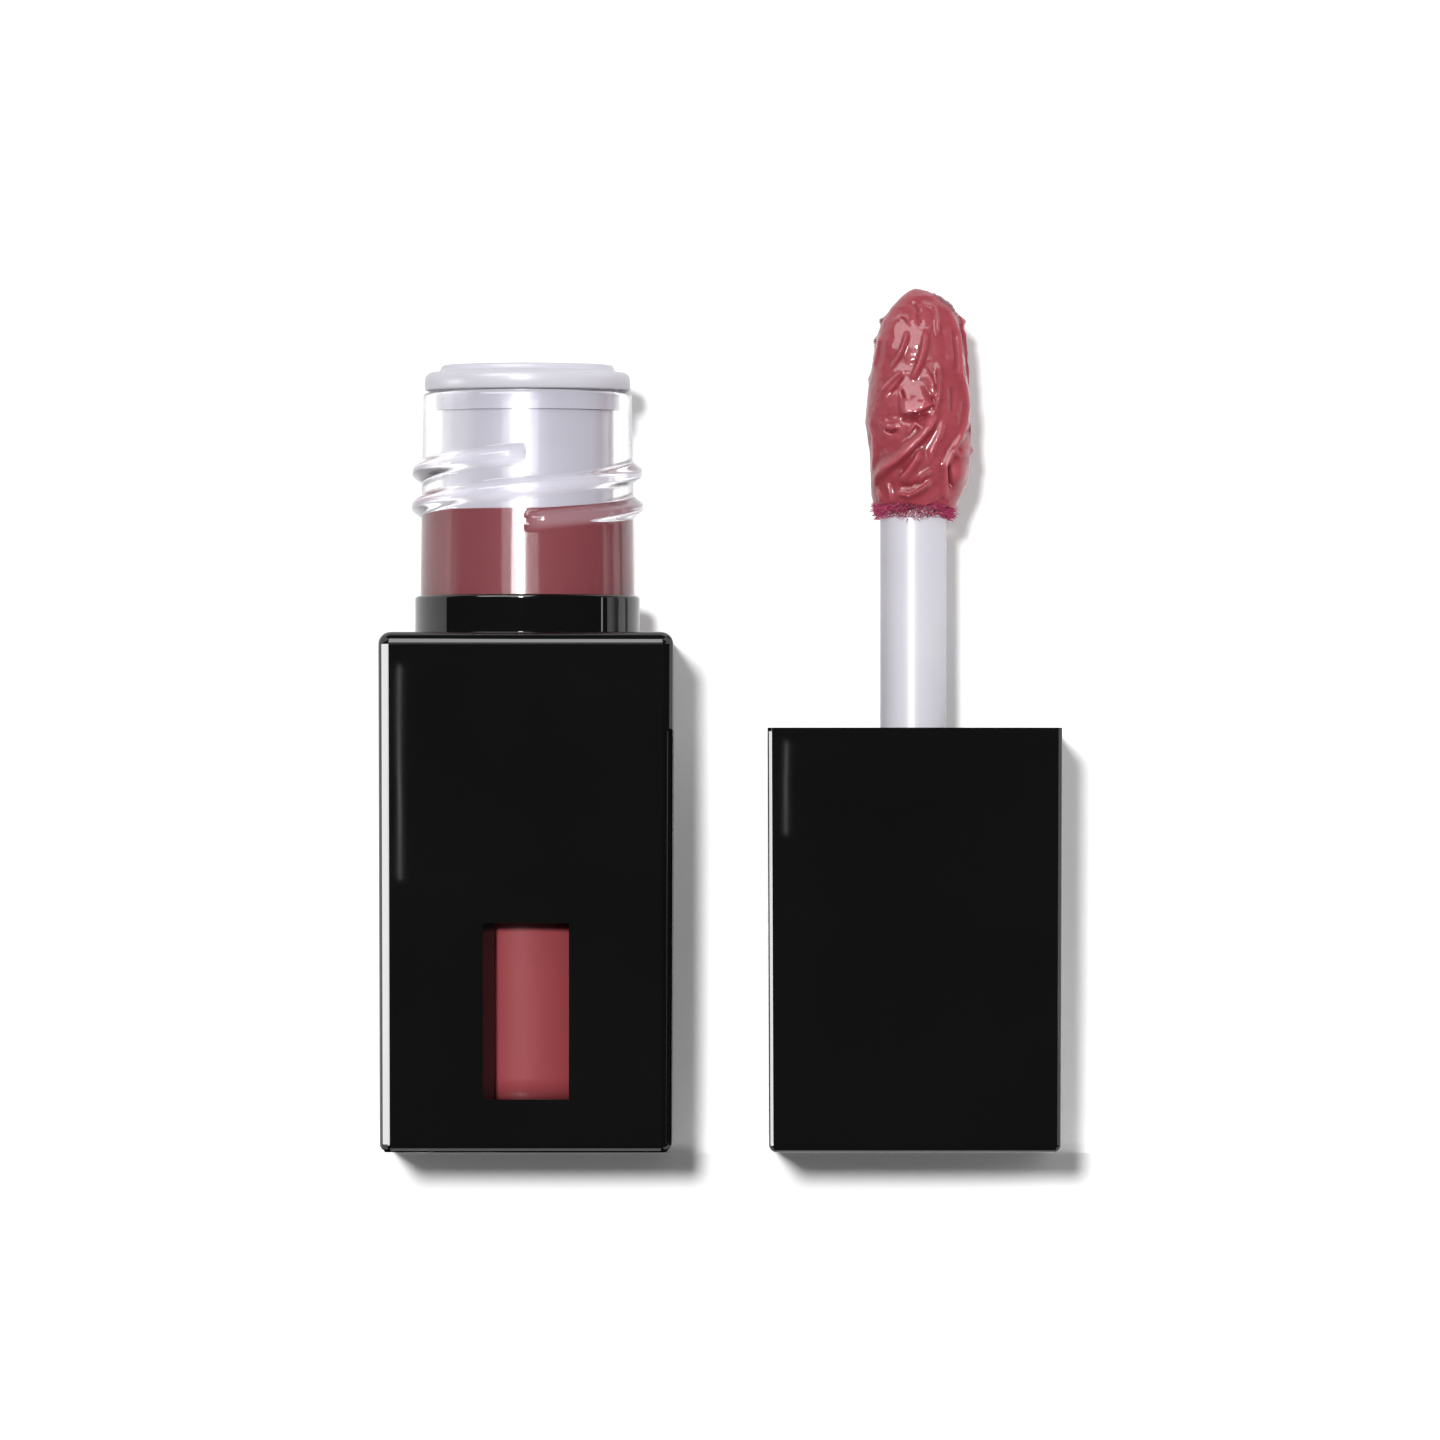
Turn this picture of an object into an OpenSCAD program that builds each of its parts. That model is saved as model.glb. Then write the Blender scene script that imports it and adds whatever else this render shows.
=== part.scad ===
// Bottle of liquid lip colour with a screw cap and a doe-foot wand, in millimetres.
// The bottle stands on z = 0 with its axis on Z. The cap is off: it stands beside the bottle on
// its closed end, so that its rim and the wand point up. -Y is the front.

/* [Bottle shell] */
// Width of the square shell across its top
body_w = 18.45; // [17.5:0.05:24]
// How much narrower the shell is at its foot
body_draft = 0.2; // [0:0.05:0.6]
// Height of the shell from the table to its top face
shell_h = 32.5; // [26:0.5:45]
// Thickness of the shell's four walls
shell_wall = 1.3; // [1:0.1:1.8]
// Thickness of the shell's top
shell_top = 1.6; // [1.2:0.1:2.5]
// Radius of the four upright edges
side_edge_r = 0.75; // [0.4:0.05:1.5]
// Radius of the edges round the top face
top_edge_r = 0.65; // [0.3:0.05:1.2]
// Radius of the edges round the foot
foot_edge_r = 0.4; // [0.2:0.05:0.8]
// Thickness of the corner fins that hold the vial upright
fin_t = 0.8; // [0.6:0.1:1.2]

/* [Window] */
// Width of the window in the front wall
window_w = 5.4; // [3:0.1:8]
// Height of the window
window_h = 11; // [5:0.5:16]
// Height of the window's lower edge above the table
window_z = 3.3; // [3:0.1:8]

/* [Base plug] */
// Thickness of the plate that closes the foot
plug_t = 1.4; // [1:0.1:2.5]
// Height of the ring that the vial's foot sits in
plug_ring_h = 1.2; // [0.8:0.1:2]
// Wall of that ring
plug_ring_t = 0.7; // [0.5:0.1:1]

/* [Vial] */
// Outer radius of the clear vial and its neck
neck_r = 6.67; // [5.5:0.01:7]
// Wall of the vial
vial_wall = 1.2; // [1:0.01:1.8]
// Thickness of the vial's floor
vial_floor = 1.8; // [1.2:0.1:3]
// Inner radius between the vial's floor and wall
floor_r = 1.5; // [0.5:0.1:2.5]
// Depth of the shallow hollow under the vial's foot
foot_hollow = 0.4; // [0.2:0.1:0.8]
// Width of the two lugs on the plug that keep the vial from turning with the cap
lug_w = 1.4; // [1:0.1:2]
// Height of those lugs
lug_h = 0.9; // [0.5:0.1:1.1]
// How far the lugs reach in from the plug's ring
lug_in = 0.8; // [0.6:0.1:1.2]
// Height of the neck's rim above the shell
neck_h = 15.2; // [12.6:0.1:20]
// Depth of the wider seat inside the rim
seat_depth = 1.2; // [0.8:0.1:2]
// How much wider the seat is than the bore, on the radius
seat_step = 0.35; // [0.2:0.05:0.5]
// How far the lip colour stands below the wiper
level_gap = 0.4; // [0.1:0.1:4]
// Radius of the way that is left in the lip colour for the wand
wand_way_r = 3; // [2.95:0.05:3.5]

/* [Neck thread] */
// Number of thread starts
thread_starts = 2; // [2:1:3]
// Height that the cap travels in one turn
thread_lead = 4.3; // [4:0.1:5]
// Turns that each start makes
thread_turns = 1; // [0.6:0.1:1.2]
// How far the rounded ridge stands out of the neck
ridge_out = 0.62; // [0.4:0.02:0.7]
// Height of the ridge where it meets the neck
ridge_root = 1.2; // [0.9:0.05:1.3]
// Height of the ridge at its crest
ridge_crest = 0.45; // [0.3:0.05:0.6]
// Height of the first ridge above the shell
thread_z = 6.8; // [5.5:0.1:7]

/* [Collar] */
// Wall of the black ring round the neck
collar_t = 0.37; // [0.3:0.01:0.6]
// Height of the ring above the shell
collar_h = 2.4; // [1.5:0.1:3.5]
// Width of the flange that holds the ring under the shell's top
collar_flange = 0.7; // [0.4:0.1:1]
// Thickness of that flange
collar_flange_t = 0.8; // [0.5:0.1:1.2]

/* [Wiper] */
// Height of the wiper above the neck's rim
wiper_up = 1.75; // [1.4:0.05:2.5]
// How much smaller the wiper's flange is than the neck, on the radius
wiper_inset = 0.2; // [0.1:0.05:0.5]
// Width of the rounded shoulder round the raised middle of the wiper's top
wiper_shoulder = 1.02; // [0.8:0.02:1.2]
// Height of the raised middle over the shoulder
wiper_crown = 0.45; // [0.2:0.05:0.6]
// Length of the wiper below the rim
wiper_down = 7.1; // [5:0.1:7.1]
// Wall of the wiper's sleeve
wiper_wall = 0.7; // [0.5:0.05:0.9]
// How much wider the stripping hole is than the wand's stem, on the radius
orifice_gap = 0.27; // [0.2:0.01:0.4]
// Length of that hole
orifice_l = 1.2; // [0.8:0.1:2]

/* [Cap] */
// Width of the square cap across its rim
cap_w = 18.4; // [17.5:0.05:24]
// How much narrower the cap is at its closed end
cap_draft = 0.2; // [0:0.05:0.6]
// Height inside and over the cap above its washer seat, for the boss that grips the wand
cap_top_room = 8.81; // [8:0.01:14]
// Thickness of the cap's walls
cap_wall = 1.2; // [0.8:0.1:1.6]
// Thickness of the cap's closed end
cap_end_t = 1.3; // [1:0.1:2]
// Radius of the cap's four upright edges
cap_edge_r = 0.5; // [0.4:0.05:1.5]
// Radius of the edges round the closed end
cap_end_r = 0.45; // [0.2:0.05:0.5]
// Depth of the liner's edge inside the rim
liner_set = 0.6; // [0.3:0.1:1.2]
// Wall of the liner's threaded skirt
liner_wall = 0.5; // [0.4:0.05:0.8]
// Thickness of the liner's square top plate
liner_plate = 1.2; // [0.8:0.1:2]
// Wall of the boss that grips the wand
boss_wall = 1.3; // [0.8:0.1:2]
// Thickness of the sealing washer
washer_t = 0.8; // [0.5:0.1:1.2]

/* [Wand] */
// Radius of the wand's stem
stem_r = 2.08; // [1.7:0.01:2.3]
// How far the tip stays above the vial's floor when the bottle is shut
tip_gap = 1.6; // [1.2:0.1:4]
// Length of the coated tip beyond the stem
tip_l = 14.4; // [12:0.1:16]
// Length of the stem held in the cap's boss
stem_grip = 6; // [4:0.2:7]
// How much wider the applicator is than the stem, on the radius
foot_step = 0.14; // [0.05:0.01:0.18]
// Thickness of the lip colour over the applicator's end
coat_end = 0.6; // [0.4:0.1:1]
// Slant of the applicator's flat face, in degrees from the wand's axis
slant = 14; // [8:1:20]
// Direction of that face about the wand, in degrees
slant_turn = 150; // [0:5:360]

/* [Set-out] */
// Distance between the bottle's axis and the cap's axis
cap_apart = 24.3; // [24.3:0.1:40]

/* [Fits] */
// Radial clearance of glued and pressed fits
fit = 0.04; // [0.03:0.01:0.08]
// Gap between the cap's rim and the shell when the bottle is shut
shut_gap = 0.1; // [0.05:0.05:0.2]
// Radial clearance between thread crest and liner
thread_gap = 0.12; // [0.1:0.01:0.2]

/* [Hidden] */
$fn = 96;
tiny = 0.01;

// Bottle, from the table up
vial_z = plug_t;
bore_r = neck_r - vial_wall;
seat_r = bore_r + seat_step;
rim_z = shell_h + neck_h;
bore_z = vial_z + vial_floor;
collar_r = neck_r + fit + collar_t;
wiper_top_z = rim_z + wiper_up;
wiper_foot_z = rim_z - wiper_down;
orifice_r = stem_r + orifice_gap;
level_z = wiper_foot_z - level_gap;
shell_cavity = body_w - body_draft - 2 * shell_wall;

// Cap, with its rim on z = 0 and its closed end up, as when it is screwed on
cap_cavity = cap_w - cap_draft - 2 * cap_wall;
cap_seat_z = shell_h + shut_gap;
washer_z = wiper_top_z - cap_seat_z + fit;
plate_z = washer_z + washer_t;
boss_z = plate_z + liner_plate;
cap_h = plate_z + cap_top_room;
boss_top = cap_h - cap_end_t - fit;
liner_bore_r = neck_r + ridge_out + thread_gap;
liner_r = min(liner_bore_r + liner_wall, cap_cavity / 2 - fit);
stem_hole_r = stem_r + fit;
stem_top = plate_z + stem_grip;
bead_r = stem_r + 0.45;
bead_l = 0.9;
bead_z = plate_z + stem_grip - 2.2;
tenon_r = 1.2;
tenon_l = 4;
wand_l = cap_seat_z - bore_z - tip_gap;
stem_out = wand_l - tip_l;
foot_r = stem_r + foot_step;

// The cap's own ridges lie midway between the neck's
thread_pitch = thread_lead / thread_starts;
thread_rise = thread_lead * thread_turns;
first_ridge_z = shell_h + thread_z;
cap_ridge_root = 0.8;
cap_ridge_crest = 0.35;
cap_ridge_in = ridge_out - 0.15;
cap_ridge_z = first_ridge_z - cap_seat_z + thread_pitch / 2;
run_out = 0.08;
bury = 0.25;
ridge_steps = 40;

// A block with four rounded upright edges, as exact solids
module square_prism(w, h, r) {
    for (size = [[w, w - 2 * r], [w - 2 * r, w]])
        translate([-size[0] / 2, -size[1] / 2, 0]) cube([size[0], size[1], h]);
    for (x = [-1, 1], y = [-1, 1])
        translate([x * (w / 2 - r), y * (w / 2 - r), 0]) cylinder(r = r, h = h);
}

// One upright edge's end: a disc whose outer corner is rounded by r
module edge_disc(edge_r, r, h) {
    rotate_extrude($fn = 32)
        polygon([
            [0, 0], [edge_r, 0],
            for (a = [0:15:90]) [edge_r - r + r * cos(a), h - r + r * sin(a)],
            [0, h]
        ]);
}

// A moulded square box outside: w_top and w_foot wide, with its edges rounded at both ends
module moulded_block(w_top, w_foot, h, edge_r, top_r, foot_r) {
    slice = 1.2;
    hull()
        for (x = [-1, 1], y = [-1, 1]) {
            translate([x * (w_top / 2 - edge_r), y * (w_top / 2 - edge_r), h - slice])
                edge_disc(edge_r, top_r, slice);
            translate([x * (w_foot / 2 - edge_r), y * (w_foot / 2 - edge_r), slice])
                mirror([0, 0, 1]) edge_disc(edge_r, foot_r, slice);
        }
}

// The outline of one ring of a ridge that stands root to crest high, out of a wall at r. Its foot
// is buried in the wall. out is 1 for a ridge on a shaft and -1 in a bore; grown runs from little
// at an end to 1.
function ridge_ring(r, out, reach, root, crest, grown) =
    let (
        tip = r + out * reach * grown,
        soft = r + out * reach * grown * 0.75,
        foot = r - out * bury,
        half_crest = crest / 2 * grown,
        half_soft = half_crest + 0.12 * grown,
        half_foot = root / 2 * max(grown, 0.6) + 0.06,
        points = [
            [foot, -half_foot], [soft, -half_soft], [tip, -half_crest],
            [tip, half_crest], [soft, half_soft], [foot, half_foot]
        ]
    )
    out < 0 ? points : [for (i = [len(points) - 1:-1:0]) points[i]];

// A ridge that climbs right-handed round the axis, fading at both ends
module ridge(r, out, reach, root, crest, turns, lead) {
    rings = [
        for (i = [0:ridge_steps])
            let (
                t = i / ridge_steps,
                angle = 360 * turns * t,
                grown = min(1, 0.2 + 0.8 * sqrt(min(t, 1 - t) / run_out)),
                ring = ridge_ring(r, out, reach, root, crest, grown)
            )
            [for (p = ring) [p[0] * cos(angle), p[0] * sin(angle), p[1] + lead * turns * t]]
    ];
    n = len(rings[0]);
    polyhedron(
        points = [for (ring = rings, p = ring) p],
        faces = [
            [for (k = [0:n - 1]) k],
            [for (k = [n - 1:-1:0]) ridge_steps * n + k],
            for (i = [0:ridge_steps - 1], k = [0:n - 1])
                let (a = i * n + k, b = i * n + (k + 1) % n)
                each [[a, a + n, b], [b, a + n, b + n]]
        ]
    );
}

// All starts of a thread. The first starts at the front.
module thread(r, out, reach, root, crest) {
    for (i = [0:thread_starts - 1])
        rotate([0, 0, 360 * i / thread_starts - 90])
            ridge(r, out, reach, root, crest, thread_turns, thread_lead);
}

// From screwed on, rim down, to standing beside the bottle on the closed end
module taken_off() {
    translate([cap_apart, 0, cap_h]) rotate([0, 180, 0]) children();
}

// ---- Bottle ----

module outer_shell() {
    cavity_h = shell_h - shell_top;
    fin_in = neck_r - 0.5;
    fin_out = shell_cavity / sqrt(2);
    color("#141414") difference() {
        union() {
            difference() {
                moulded_block(body_w, body_w - body_draft, shell_h, side_edge_r, top_edge_r, foot_edge_r);
                translate([0, 0, -tiny]) square_prism(shell_cavity, cavity_h + tiny, side_edge_r);
            }
            for (a = [45:90:315])
                rotate([0, 0, a])
                    translate([fin_in, -fin_t / 2, plug_t + plug_ring_h + 0.3])
                        cube([fin_out - fin_in, fin_t, cavity_h - plug_t - plug_ring_h - 0.3 + tiny]);
        }
        cylinder(r = neck_r + 2 * fit, h = cavity_h);
        translate([0, 0, cavity_h - collar_flange_t - fit])
            cylinder(r = collar_r + collar_flange + fit, h = collar_flange_t + fit);
        cylinder(r = collar_r + fit, h = shell_h + tiny);
        translate([-window_w / 2, -body_w, window_z]) cube([window_w, body_w - neck_r, window_h]);
    }
}

// Two blocks either side of the axis, that reach in from r
module lugs(r, reach, w, h) {
    for (side = [-1, 1])
        translate([side * (r - reach / 2), 0, h / 2]) cube([reach, w, h], center = true);
}

module base_plug() {
    plug_w = shell_cavity - 2 * fit;
    ring_in = neck_r + fit;
    color("#1b1b1b") {
        difference() {
            union() {
                square_prism(plug_w, plug_t, side_edge_r);
                cylinder(r = ring_in + plug_ring_t, h = plug_t + plug_ring_h);
            }
            translate([0, 0, plug_t]) cylinder(r = ring_in, h = plug_ring_h + tiny);
        }
        translate([0, 0, plug_t - tiny])
            lugs(ring_in + plug_ring_t / 2, lug_in + plug_ring_t / 2, lug_w, lug_h + tiny);
    }
}

module collar() {
    under = shell_h - shell_top;
    lip = 0.12;
    color("#101010") rotate_extrude()
        polygon([
            [neck_r + fit, under - collar_flange_t], [collar_r + collar_flange, under - collar_flange_t],
            [collar_r + collar_flange, under - fit], [collar_r, under - fit],
            [collar_r, shell_h + collar_h - lip],
            for (a = [30:30:90])
                [collar_r - lip + lip * cos(a), shell_h + collar_h - lip + lip * sin(a)],
            [neck_r + fit, shell_h + collar_h]
        ]);
}

module vial() {
    rim_r = 0.25;
    color("#e8e8ee", 0.45) difference() {
        vial_blank(rim_r);
        translate([0, 0, vial_z - tiny])
            lugs(neck_r + tiny, lug_in + tiny, lug_w + 2 * fit, lug_h + fit + tiny);
    }
}

// The vial before its foot is notched for the lugs
module vial_blank(rim_r) {
    union() {
        rotate_extrude()
            polygon([
                [0, vial_z + foot_hollow], [neck_r - 2.6, vial_z + foot_hollow],
                [neck_r - 1.8, vial_z], [neck_r - 0.4, vial_z], [neck_r, vial_z + 0.4],
                [neck_r, rim_z - rim_r], [neck_r - rim_r, rim_z],
                [seat_r, rim_z], [seat_r, rim_z - seat_depth], [bore_r, rim_z - seat_depth],
                for (a = [0:-15:-90])
                    [bore_r - floor_r + floor_r * cos(a), bore_z + floor_r + floor_r * sin(a)],
                [0, bore_z]
            ]);
        translate([0, 0, first_ridge_z]) thread(neck_r, 1, ridge_out, ridge_root, ridge_crest);
    }
}

// The lip colour, with the wand's own way left free
module product_fill() {
    way_z = bore_z + 0.8;
    side_r = bore_r - fit;
    color("#94484c") rotate_extrude()
        polygon([
            [0, bore_z + fit], [bore_r - floor_r, bore_z + fit],
            for (a = [-75:15:0])
                [side_r - floor_r + floor_r * cos(a), bore_z + fit + floor_r + floor_r * sin(a)],
            [side_r, level_z], [wand_way_r, level_z - 0.1], [wand_way_r, way_z], [0, way_z]
        ]);
}

module wiper() {
    flange_r = neck_r - wiper_inset;
    sleeve_r = bore_r - fit;
    inner_r = sleeve_r - wiper_wall;
    crown_r = flange_r - wiper_shoulder;
    shoulder_z = wiper_top_z - wiper_crown;
    soft = 0.55;
    cone_z = wiper_foot_z + orifice_l + (inner_r - orifice_r);
    color("#d3d1dc") rotate_extrude()
        polygon([
            [orifice_r, wiper_foot_z], [orifice_r + wiper_wall, wiper_foot_z],
            [sleeve_r - 0.3, cone_z - wiper_wall], [sleeve_r, cone_z + 0.2],
            [sleeve_r, rim_z - seat_depth + fit], [seat_r - fit, rim_z - seat_depth + fit],
            [seat_r - fit, rim_z], [flange_r, rim_z],
            for (a = [0:15:90])
                [flange_r - soft + soft * cos(a), shoulder_z - soft + soft * sin(a)],
            [crown_r + 0.1, shoulder_z + 0.1], [crown_r, wiper_top_z],
            [inner_r + 0.3, wiper_top_z], [inner_r, wiper_top_z - 0.4],
            [inner_r, cone_z], [orifice_r, wiper_foot_z + orifice_l]
        ]);
}

// ---- Cap and wand, drawn as screwed on, with the rim on z = 0 ----

module cap_shell() {
    color("#141414") taken_off() difference() {
        moulded_block(cap_w - cap_draft, cap_w, cap_h, cap_edge_r, cap_end_r, 0.08);
        translate([0, 0, -tiny]) square_prism(cap_cavity, cap_h - cap_end_t + tiny, side_edge_r);
    }
}

module cap_liner() {
    plate_w = cap_cavity - 2 * fit;
    color("#26262a") taken_off() {
        difference() {
            union() {
                translate([0, 0, liner_set]) cylinder(r = liner_r, h = plate_z - liner_set + tiny);
                translate([0, 0, plate_z]) square_prism(plate_w, liner_plate, side_edge_r);
                translate([0, 0, boss_z - tiny])
                    cylinder(r = bead_r + boss_wall, h = boss_top - boss_z + tiny);
            }
            translate([0, 0, -tiny]) cylinder(r = liner_bore_r, h = plate_z + tiny);
            cylinder(r = stem_hole_r, h = stem_top + fit);
            translate([0, 0, bead_z - fit]) cylinder(r = bead_r + fit, h = bead_l + 2 * fit);
        }
        translate([0, 0, cap_ridge_z])
            thread(liner_bore_r, -1, cap_ridge_in, cap_ridge_root, cap_ridge_crest);
    }
}

module seal_washer() {
    color("#cfcfd6") taken_off() translate([0, 0, washer_z]) difference() {
        cylinder(r = liner_bore_r - 2 * fit, h = washer_t - fit);
        translate([0, 0, -tiny]) cylinder(r = stem_r + fit, h = washer_t + 2 * tiny);
    }
}

module wand_stem() {
    color("#e4e3ec") taken_off() difference() {
        union() {
            translate([0, 0, -stem_out]) cylinder(r = stem_r, h = stem_top + stem_out);
            translate([0, 0, bead_z]) cylinder(r = bead_r, h = bead_l);
        }
        translate([0, 0, -stem_out - tiny]) cylinder(r = tenon_r + fit, h = tenon_l + 0.2);
    }
}

// The bare applicator, or with grow the space that it takes up inside its coat
module applicator_core(grow) {
    end = wand_l - coat_end;
    nose = 1.9;
    face = end - 7.5;
    difference() {
        rotate_extrude()
            polygon([
                [0, -end - grow],
                for (a = [15:15:90])
                    [(foot_r + grow) * sin(a), -end + nose - (nose + grow) * cos(a)],
                [foot_r + grow, -stem_out - 1], [stem_r + grow, -stem_out - 0.2],
                [stem_r + grow, -stem_out], [tenon_r, -stem_out],
                [tenon_r, -stem_out + tenon_l], [0, -stem_out + tenon_l]
            ]);
        rotate([0, 0, slant_turn])
            translate([foot_r + grow, 0, -face]) rotate([0, slant, 0])
                translate([0, -foot_r - 1, -2 * tip_l]) cube([3 * foot_r, 2 * foot_r + 2, 2 * tip_l]);
    }
}

module applicator() {
    color("#b25a72") taken_off() applicator_core(0);
}

// Half-width of the coat at some stations between the stem and the tip, as shares of its length
coat_outline = [
    [0.03, 2.6], [0.1, 2.78], [0.2, 3.18], [0.3, 3.39], [0.42, 3.35], [0.62, 3.12],
    [0.8, 2.85], [0.9, 2.35], [0.96, 1.6], [1, 0.6]
];
bead_from = 0.62;

// The coat of lip colour between two shares of the tip's length
module coat(from, to) {
    stations = [for (p = coat_outline) if (p[0] >= from && p[0] <= to) p];
    difference() {
        rotate_extrude()
            polygon([
                [0, -stem_out - tip_l * stations[0][0]],
                for (p = stations) [p[1], -stem_out - tip_l * p[0]],
                [0, -stem_out - tip_l * stations[len(stations) - 1][0]]
            ]);
        applicator_core(fit);
    }
}

module gloss_coat() {
    color("#a8545c") taken_off() coat(0, bead_from);
}

module gloss_bead() {
    color("#a8545c") taken_off() coat(bead_from, 1);
}

outer_shell();
base_plug();
collar();
vial();
product_fill();
wiper();
cap_shell();
cap_liner();
seal_washer();
wand_stem();
applicator();
gloss_coat();
gloss_bead();
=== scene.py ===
# %% [markdown]
# # A bottle of liquid lip colour, with its cap off
# The photograph shows a square black bottle with a clear threaded neck, and beside it the square
# black cap, which stands on its closed end and holds up the wand with its doe-foot tip. The packed
# CAD model gives every place and size. This script adds what CAD leaves plain: softened edges,
# clear and milky plastic, the lip colour and the smeared tip.

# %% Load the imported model
import math
import random

import bmesh
import bpy
import numpy as np
from mathutils import Matrix, Vector, noise
from mathutils.bvhtree import BVHTree


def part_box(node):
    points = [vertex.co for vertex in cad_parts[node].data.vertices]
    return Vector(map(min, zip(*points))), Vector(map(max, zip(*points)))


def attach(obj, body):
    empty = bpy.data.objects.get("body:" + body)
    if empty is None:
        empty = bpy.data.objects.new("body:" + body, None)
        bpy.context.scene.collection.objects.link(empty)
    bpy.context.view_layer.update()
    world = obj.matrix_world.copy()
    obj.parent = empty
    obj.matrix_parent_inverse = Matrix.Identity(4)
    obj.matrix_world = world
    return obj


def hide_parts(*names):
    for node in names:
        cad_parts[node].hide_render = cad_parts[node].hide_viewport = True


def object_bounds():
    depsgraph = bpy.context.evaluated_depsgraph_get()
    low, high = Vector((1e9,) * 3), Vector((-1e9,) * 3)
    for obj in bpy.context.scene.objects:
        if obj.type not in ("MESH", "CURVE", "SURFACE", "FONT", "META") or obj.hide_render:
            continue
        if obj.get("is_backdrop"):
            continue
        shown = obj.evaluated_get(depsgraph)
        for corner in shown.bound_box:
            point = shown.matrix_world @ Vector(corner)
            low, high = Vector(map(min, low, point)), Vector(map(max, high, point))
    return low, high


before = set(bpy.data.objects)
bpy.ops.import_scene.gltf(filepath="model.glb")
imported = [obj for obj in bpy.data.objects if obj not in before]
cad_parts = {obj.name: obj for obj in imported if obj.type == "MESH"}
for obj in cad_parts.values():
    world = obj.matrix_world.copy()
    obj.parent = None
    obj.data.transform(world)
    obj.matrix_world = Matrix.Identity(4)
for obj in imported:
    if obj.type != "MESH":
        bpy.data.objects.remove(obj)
cad_low, cad_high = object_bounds()
MM = 0.001
print("CAD box in mm:", [round(v / MM, 2) for v in (*cad_low, *cad_high)])

# %% [markdown]
# ## The camera
# The picture was taken from far away with a long lens, so the two square faces stay square. The
# camera stands in front, a little right of the bottle's axis, and looks up very slightly. These
# values were fitted to edges measured in the picture. It is aimed first, and needs no shift.

# %% Camera
WIDTH = HEIGHT = 1440
LONG_SIDE = max(WIDTH, HEIGHT)
CAMERA_PLACE = Vector((12.13, -1000.0, 13.0)) * MM
CAMERA_PITCH = 0.0141
LENS = 397.0

camera_data = bpy.data.cameras.new("camera")
camera = bpy.data.objects.new("camera", camera_data)
bpy.context.scene.collection.objects.link(camera)
bpy.context.scene.camera = camera
camera_data.sensor_fit = "AUTO"
camera_data.sensor_width = 36.0
camera_data.lens = LENS
camera_data.clip_start, camera_data.clip_end = 0.01, 20.0
camera.location = CAMERA_PLACE
camera.rotation_euler = (math.pi / 2 + CAMERA_PITCH, 0, 0)
bpy.context.view_layer.update()
print("camera at", [round(v, 4) for v in camera.location], "lens", LENS)

# %% [markdown]
# Named points of the picture keep the model honest. Each is measured in the picture's own frame.
# `ray` turns a point into a line from the camera, and `seen_at` turns a place into a point.

# %% Image points and the way from a point to a place
POINTS = {
    "bottle_left_edge": (378.2, None),
    "bottle_right_edge": (673.3, None),
    "cap_right_edge": (1062.6, None),
    "foot_of_bottle": (None, 1152.2),
    "top_of_tip": (None, 288.4),
    "top_of_shell": (None, 632.8),
    "window": (525.0, 1011.0),
    "wiper_top": (526.0, 359.7),
    "neck_left_edge": (418.9, None),
    "collar_top": (526.0, 593.0),
    "cap_rim_left_corner": (768.0, 728.3),
    "cap_rim_right_corner": (1062.6, 728.1),
    "stem_left_edge": (883.8, None),
    "stem_right_edge": (949.5, None),
    "thread_left_bump": (410.3, 475.5),
    "tip_right_nipple": (975.4, 450.5),
    "fibres_right_of_tip": (947.5, 304.0),
    "fibres_upper_left": (881.0, 320.5),
    "fibres_middle_left": (875.0, 342.0),
}


def ray(x, y):
    """Start and direction of the line of sight through a point of the picture."""
    shift_x, shift_y = camera_data.shift_x, camera_data.shift_y
    aim = Vector((x - WIDTH / 2 + shift_x * LONG_SIDE, HEIGHT / 2 - y + shift_y * LONG_SIDE,
                  -LONG_SIDE * camera_data.lens / camera_data.sensor_width))
    turn = camera.matrix_world.to_3x3()
    return camera.matrix_world.translation.copy(), (turn @ aim).normalized()


def seen_at(place):
    """The point of the picture where a place shows."""
    local = camera.matrix_world.inverted() @ Vector(place)
    reach = LONG_SIDE * camera_data.lens / camera_data.sensor_width / -local.z
    return (local.x * reach + WIDTH / 2 - camera_data.shift_x * LONG_SIDE,
            HEIGHT / 2 - local.y * reach + camera_data.shift_y * LONG_SIDE)


def surface_of(piece):
    """A search tree of a finished piece."""
    return BVHTree.FromPolygons([v.co.copy() for v in piece.data.vertices],
                                [tuple(p.vertices) for p in piece.data.polygons])


def place_on(tree, x, y):
    """Where the line of sight meets the piece, or the piece's place nearest that line."""
    start, aim = ray(x, y)
    place = tree.ray_cast(start, aim)[0]
    if place is None:
        guess = start + aim * (cad_low.lerp(cad_high, 0.5) - start).dot(aim)
        place = tree.find_nearest(guess)[0]
    return place


print(len(POINTS), "image points")

# %% [markdown]
# ## Modelling helpers
# Everything is made as by hand: a primitive, then edit mode, then modifiers. In a script the
# hand's clicks become tests on the place of an edge or a face. Two helpers do most of the work:
# `editing` opens a piece, and `pick` selects by a test.

# %% Edit mode, picking and modifiers
def deselect():
    if bpy.context.object and bpy.context.object.mode != "OBJECT":
        bpy.ops.object.mode_set(mode="OBJECT")
    bpy.ops.object.select_all(action="DESELECT")


def named(name):
    """The primitive that was just added, under its own name and with its place in its mesh."""
    piece = bpy.context.object
    piece.name = piece.data.name = name
    bpy.ops.object.transform_apply(location=True, rotation=True, scale=True)
    return piece


def take(piece):
    """Makes a piece the active one, and the only one selected."""
    deselect()
    bpy.context.view_layer.objects.active = piece
    piece.select_set(True)


def editing(piece, mode):
    take(piece)
    bpy.ops.object.mode_set(mode="EDIT")
    bpy.ops.mesh.select_mode(type=mode)


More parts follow.
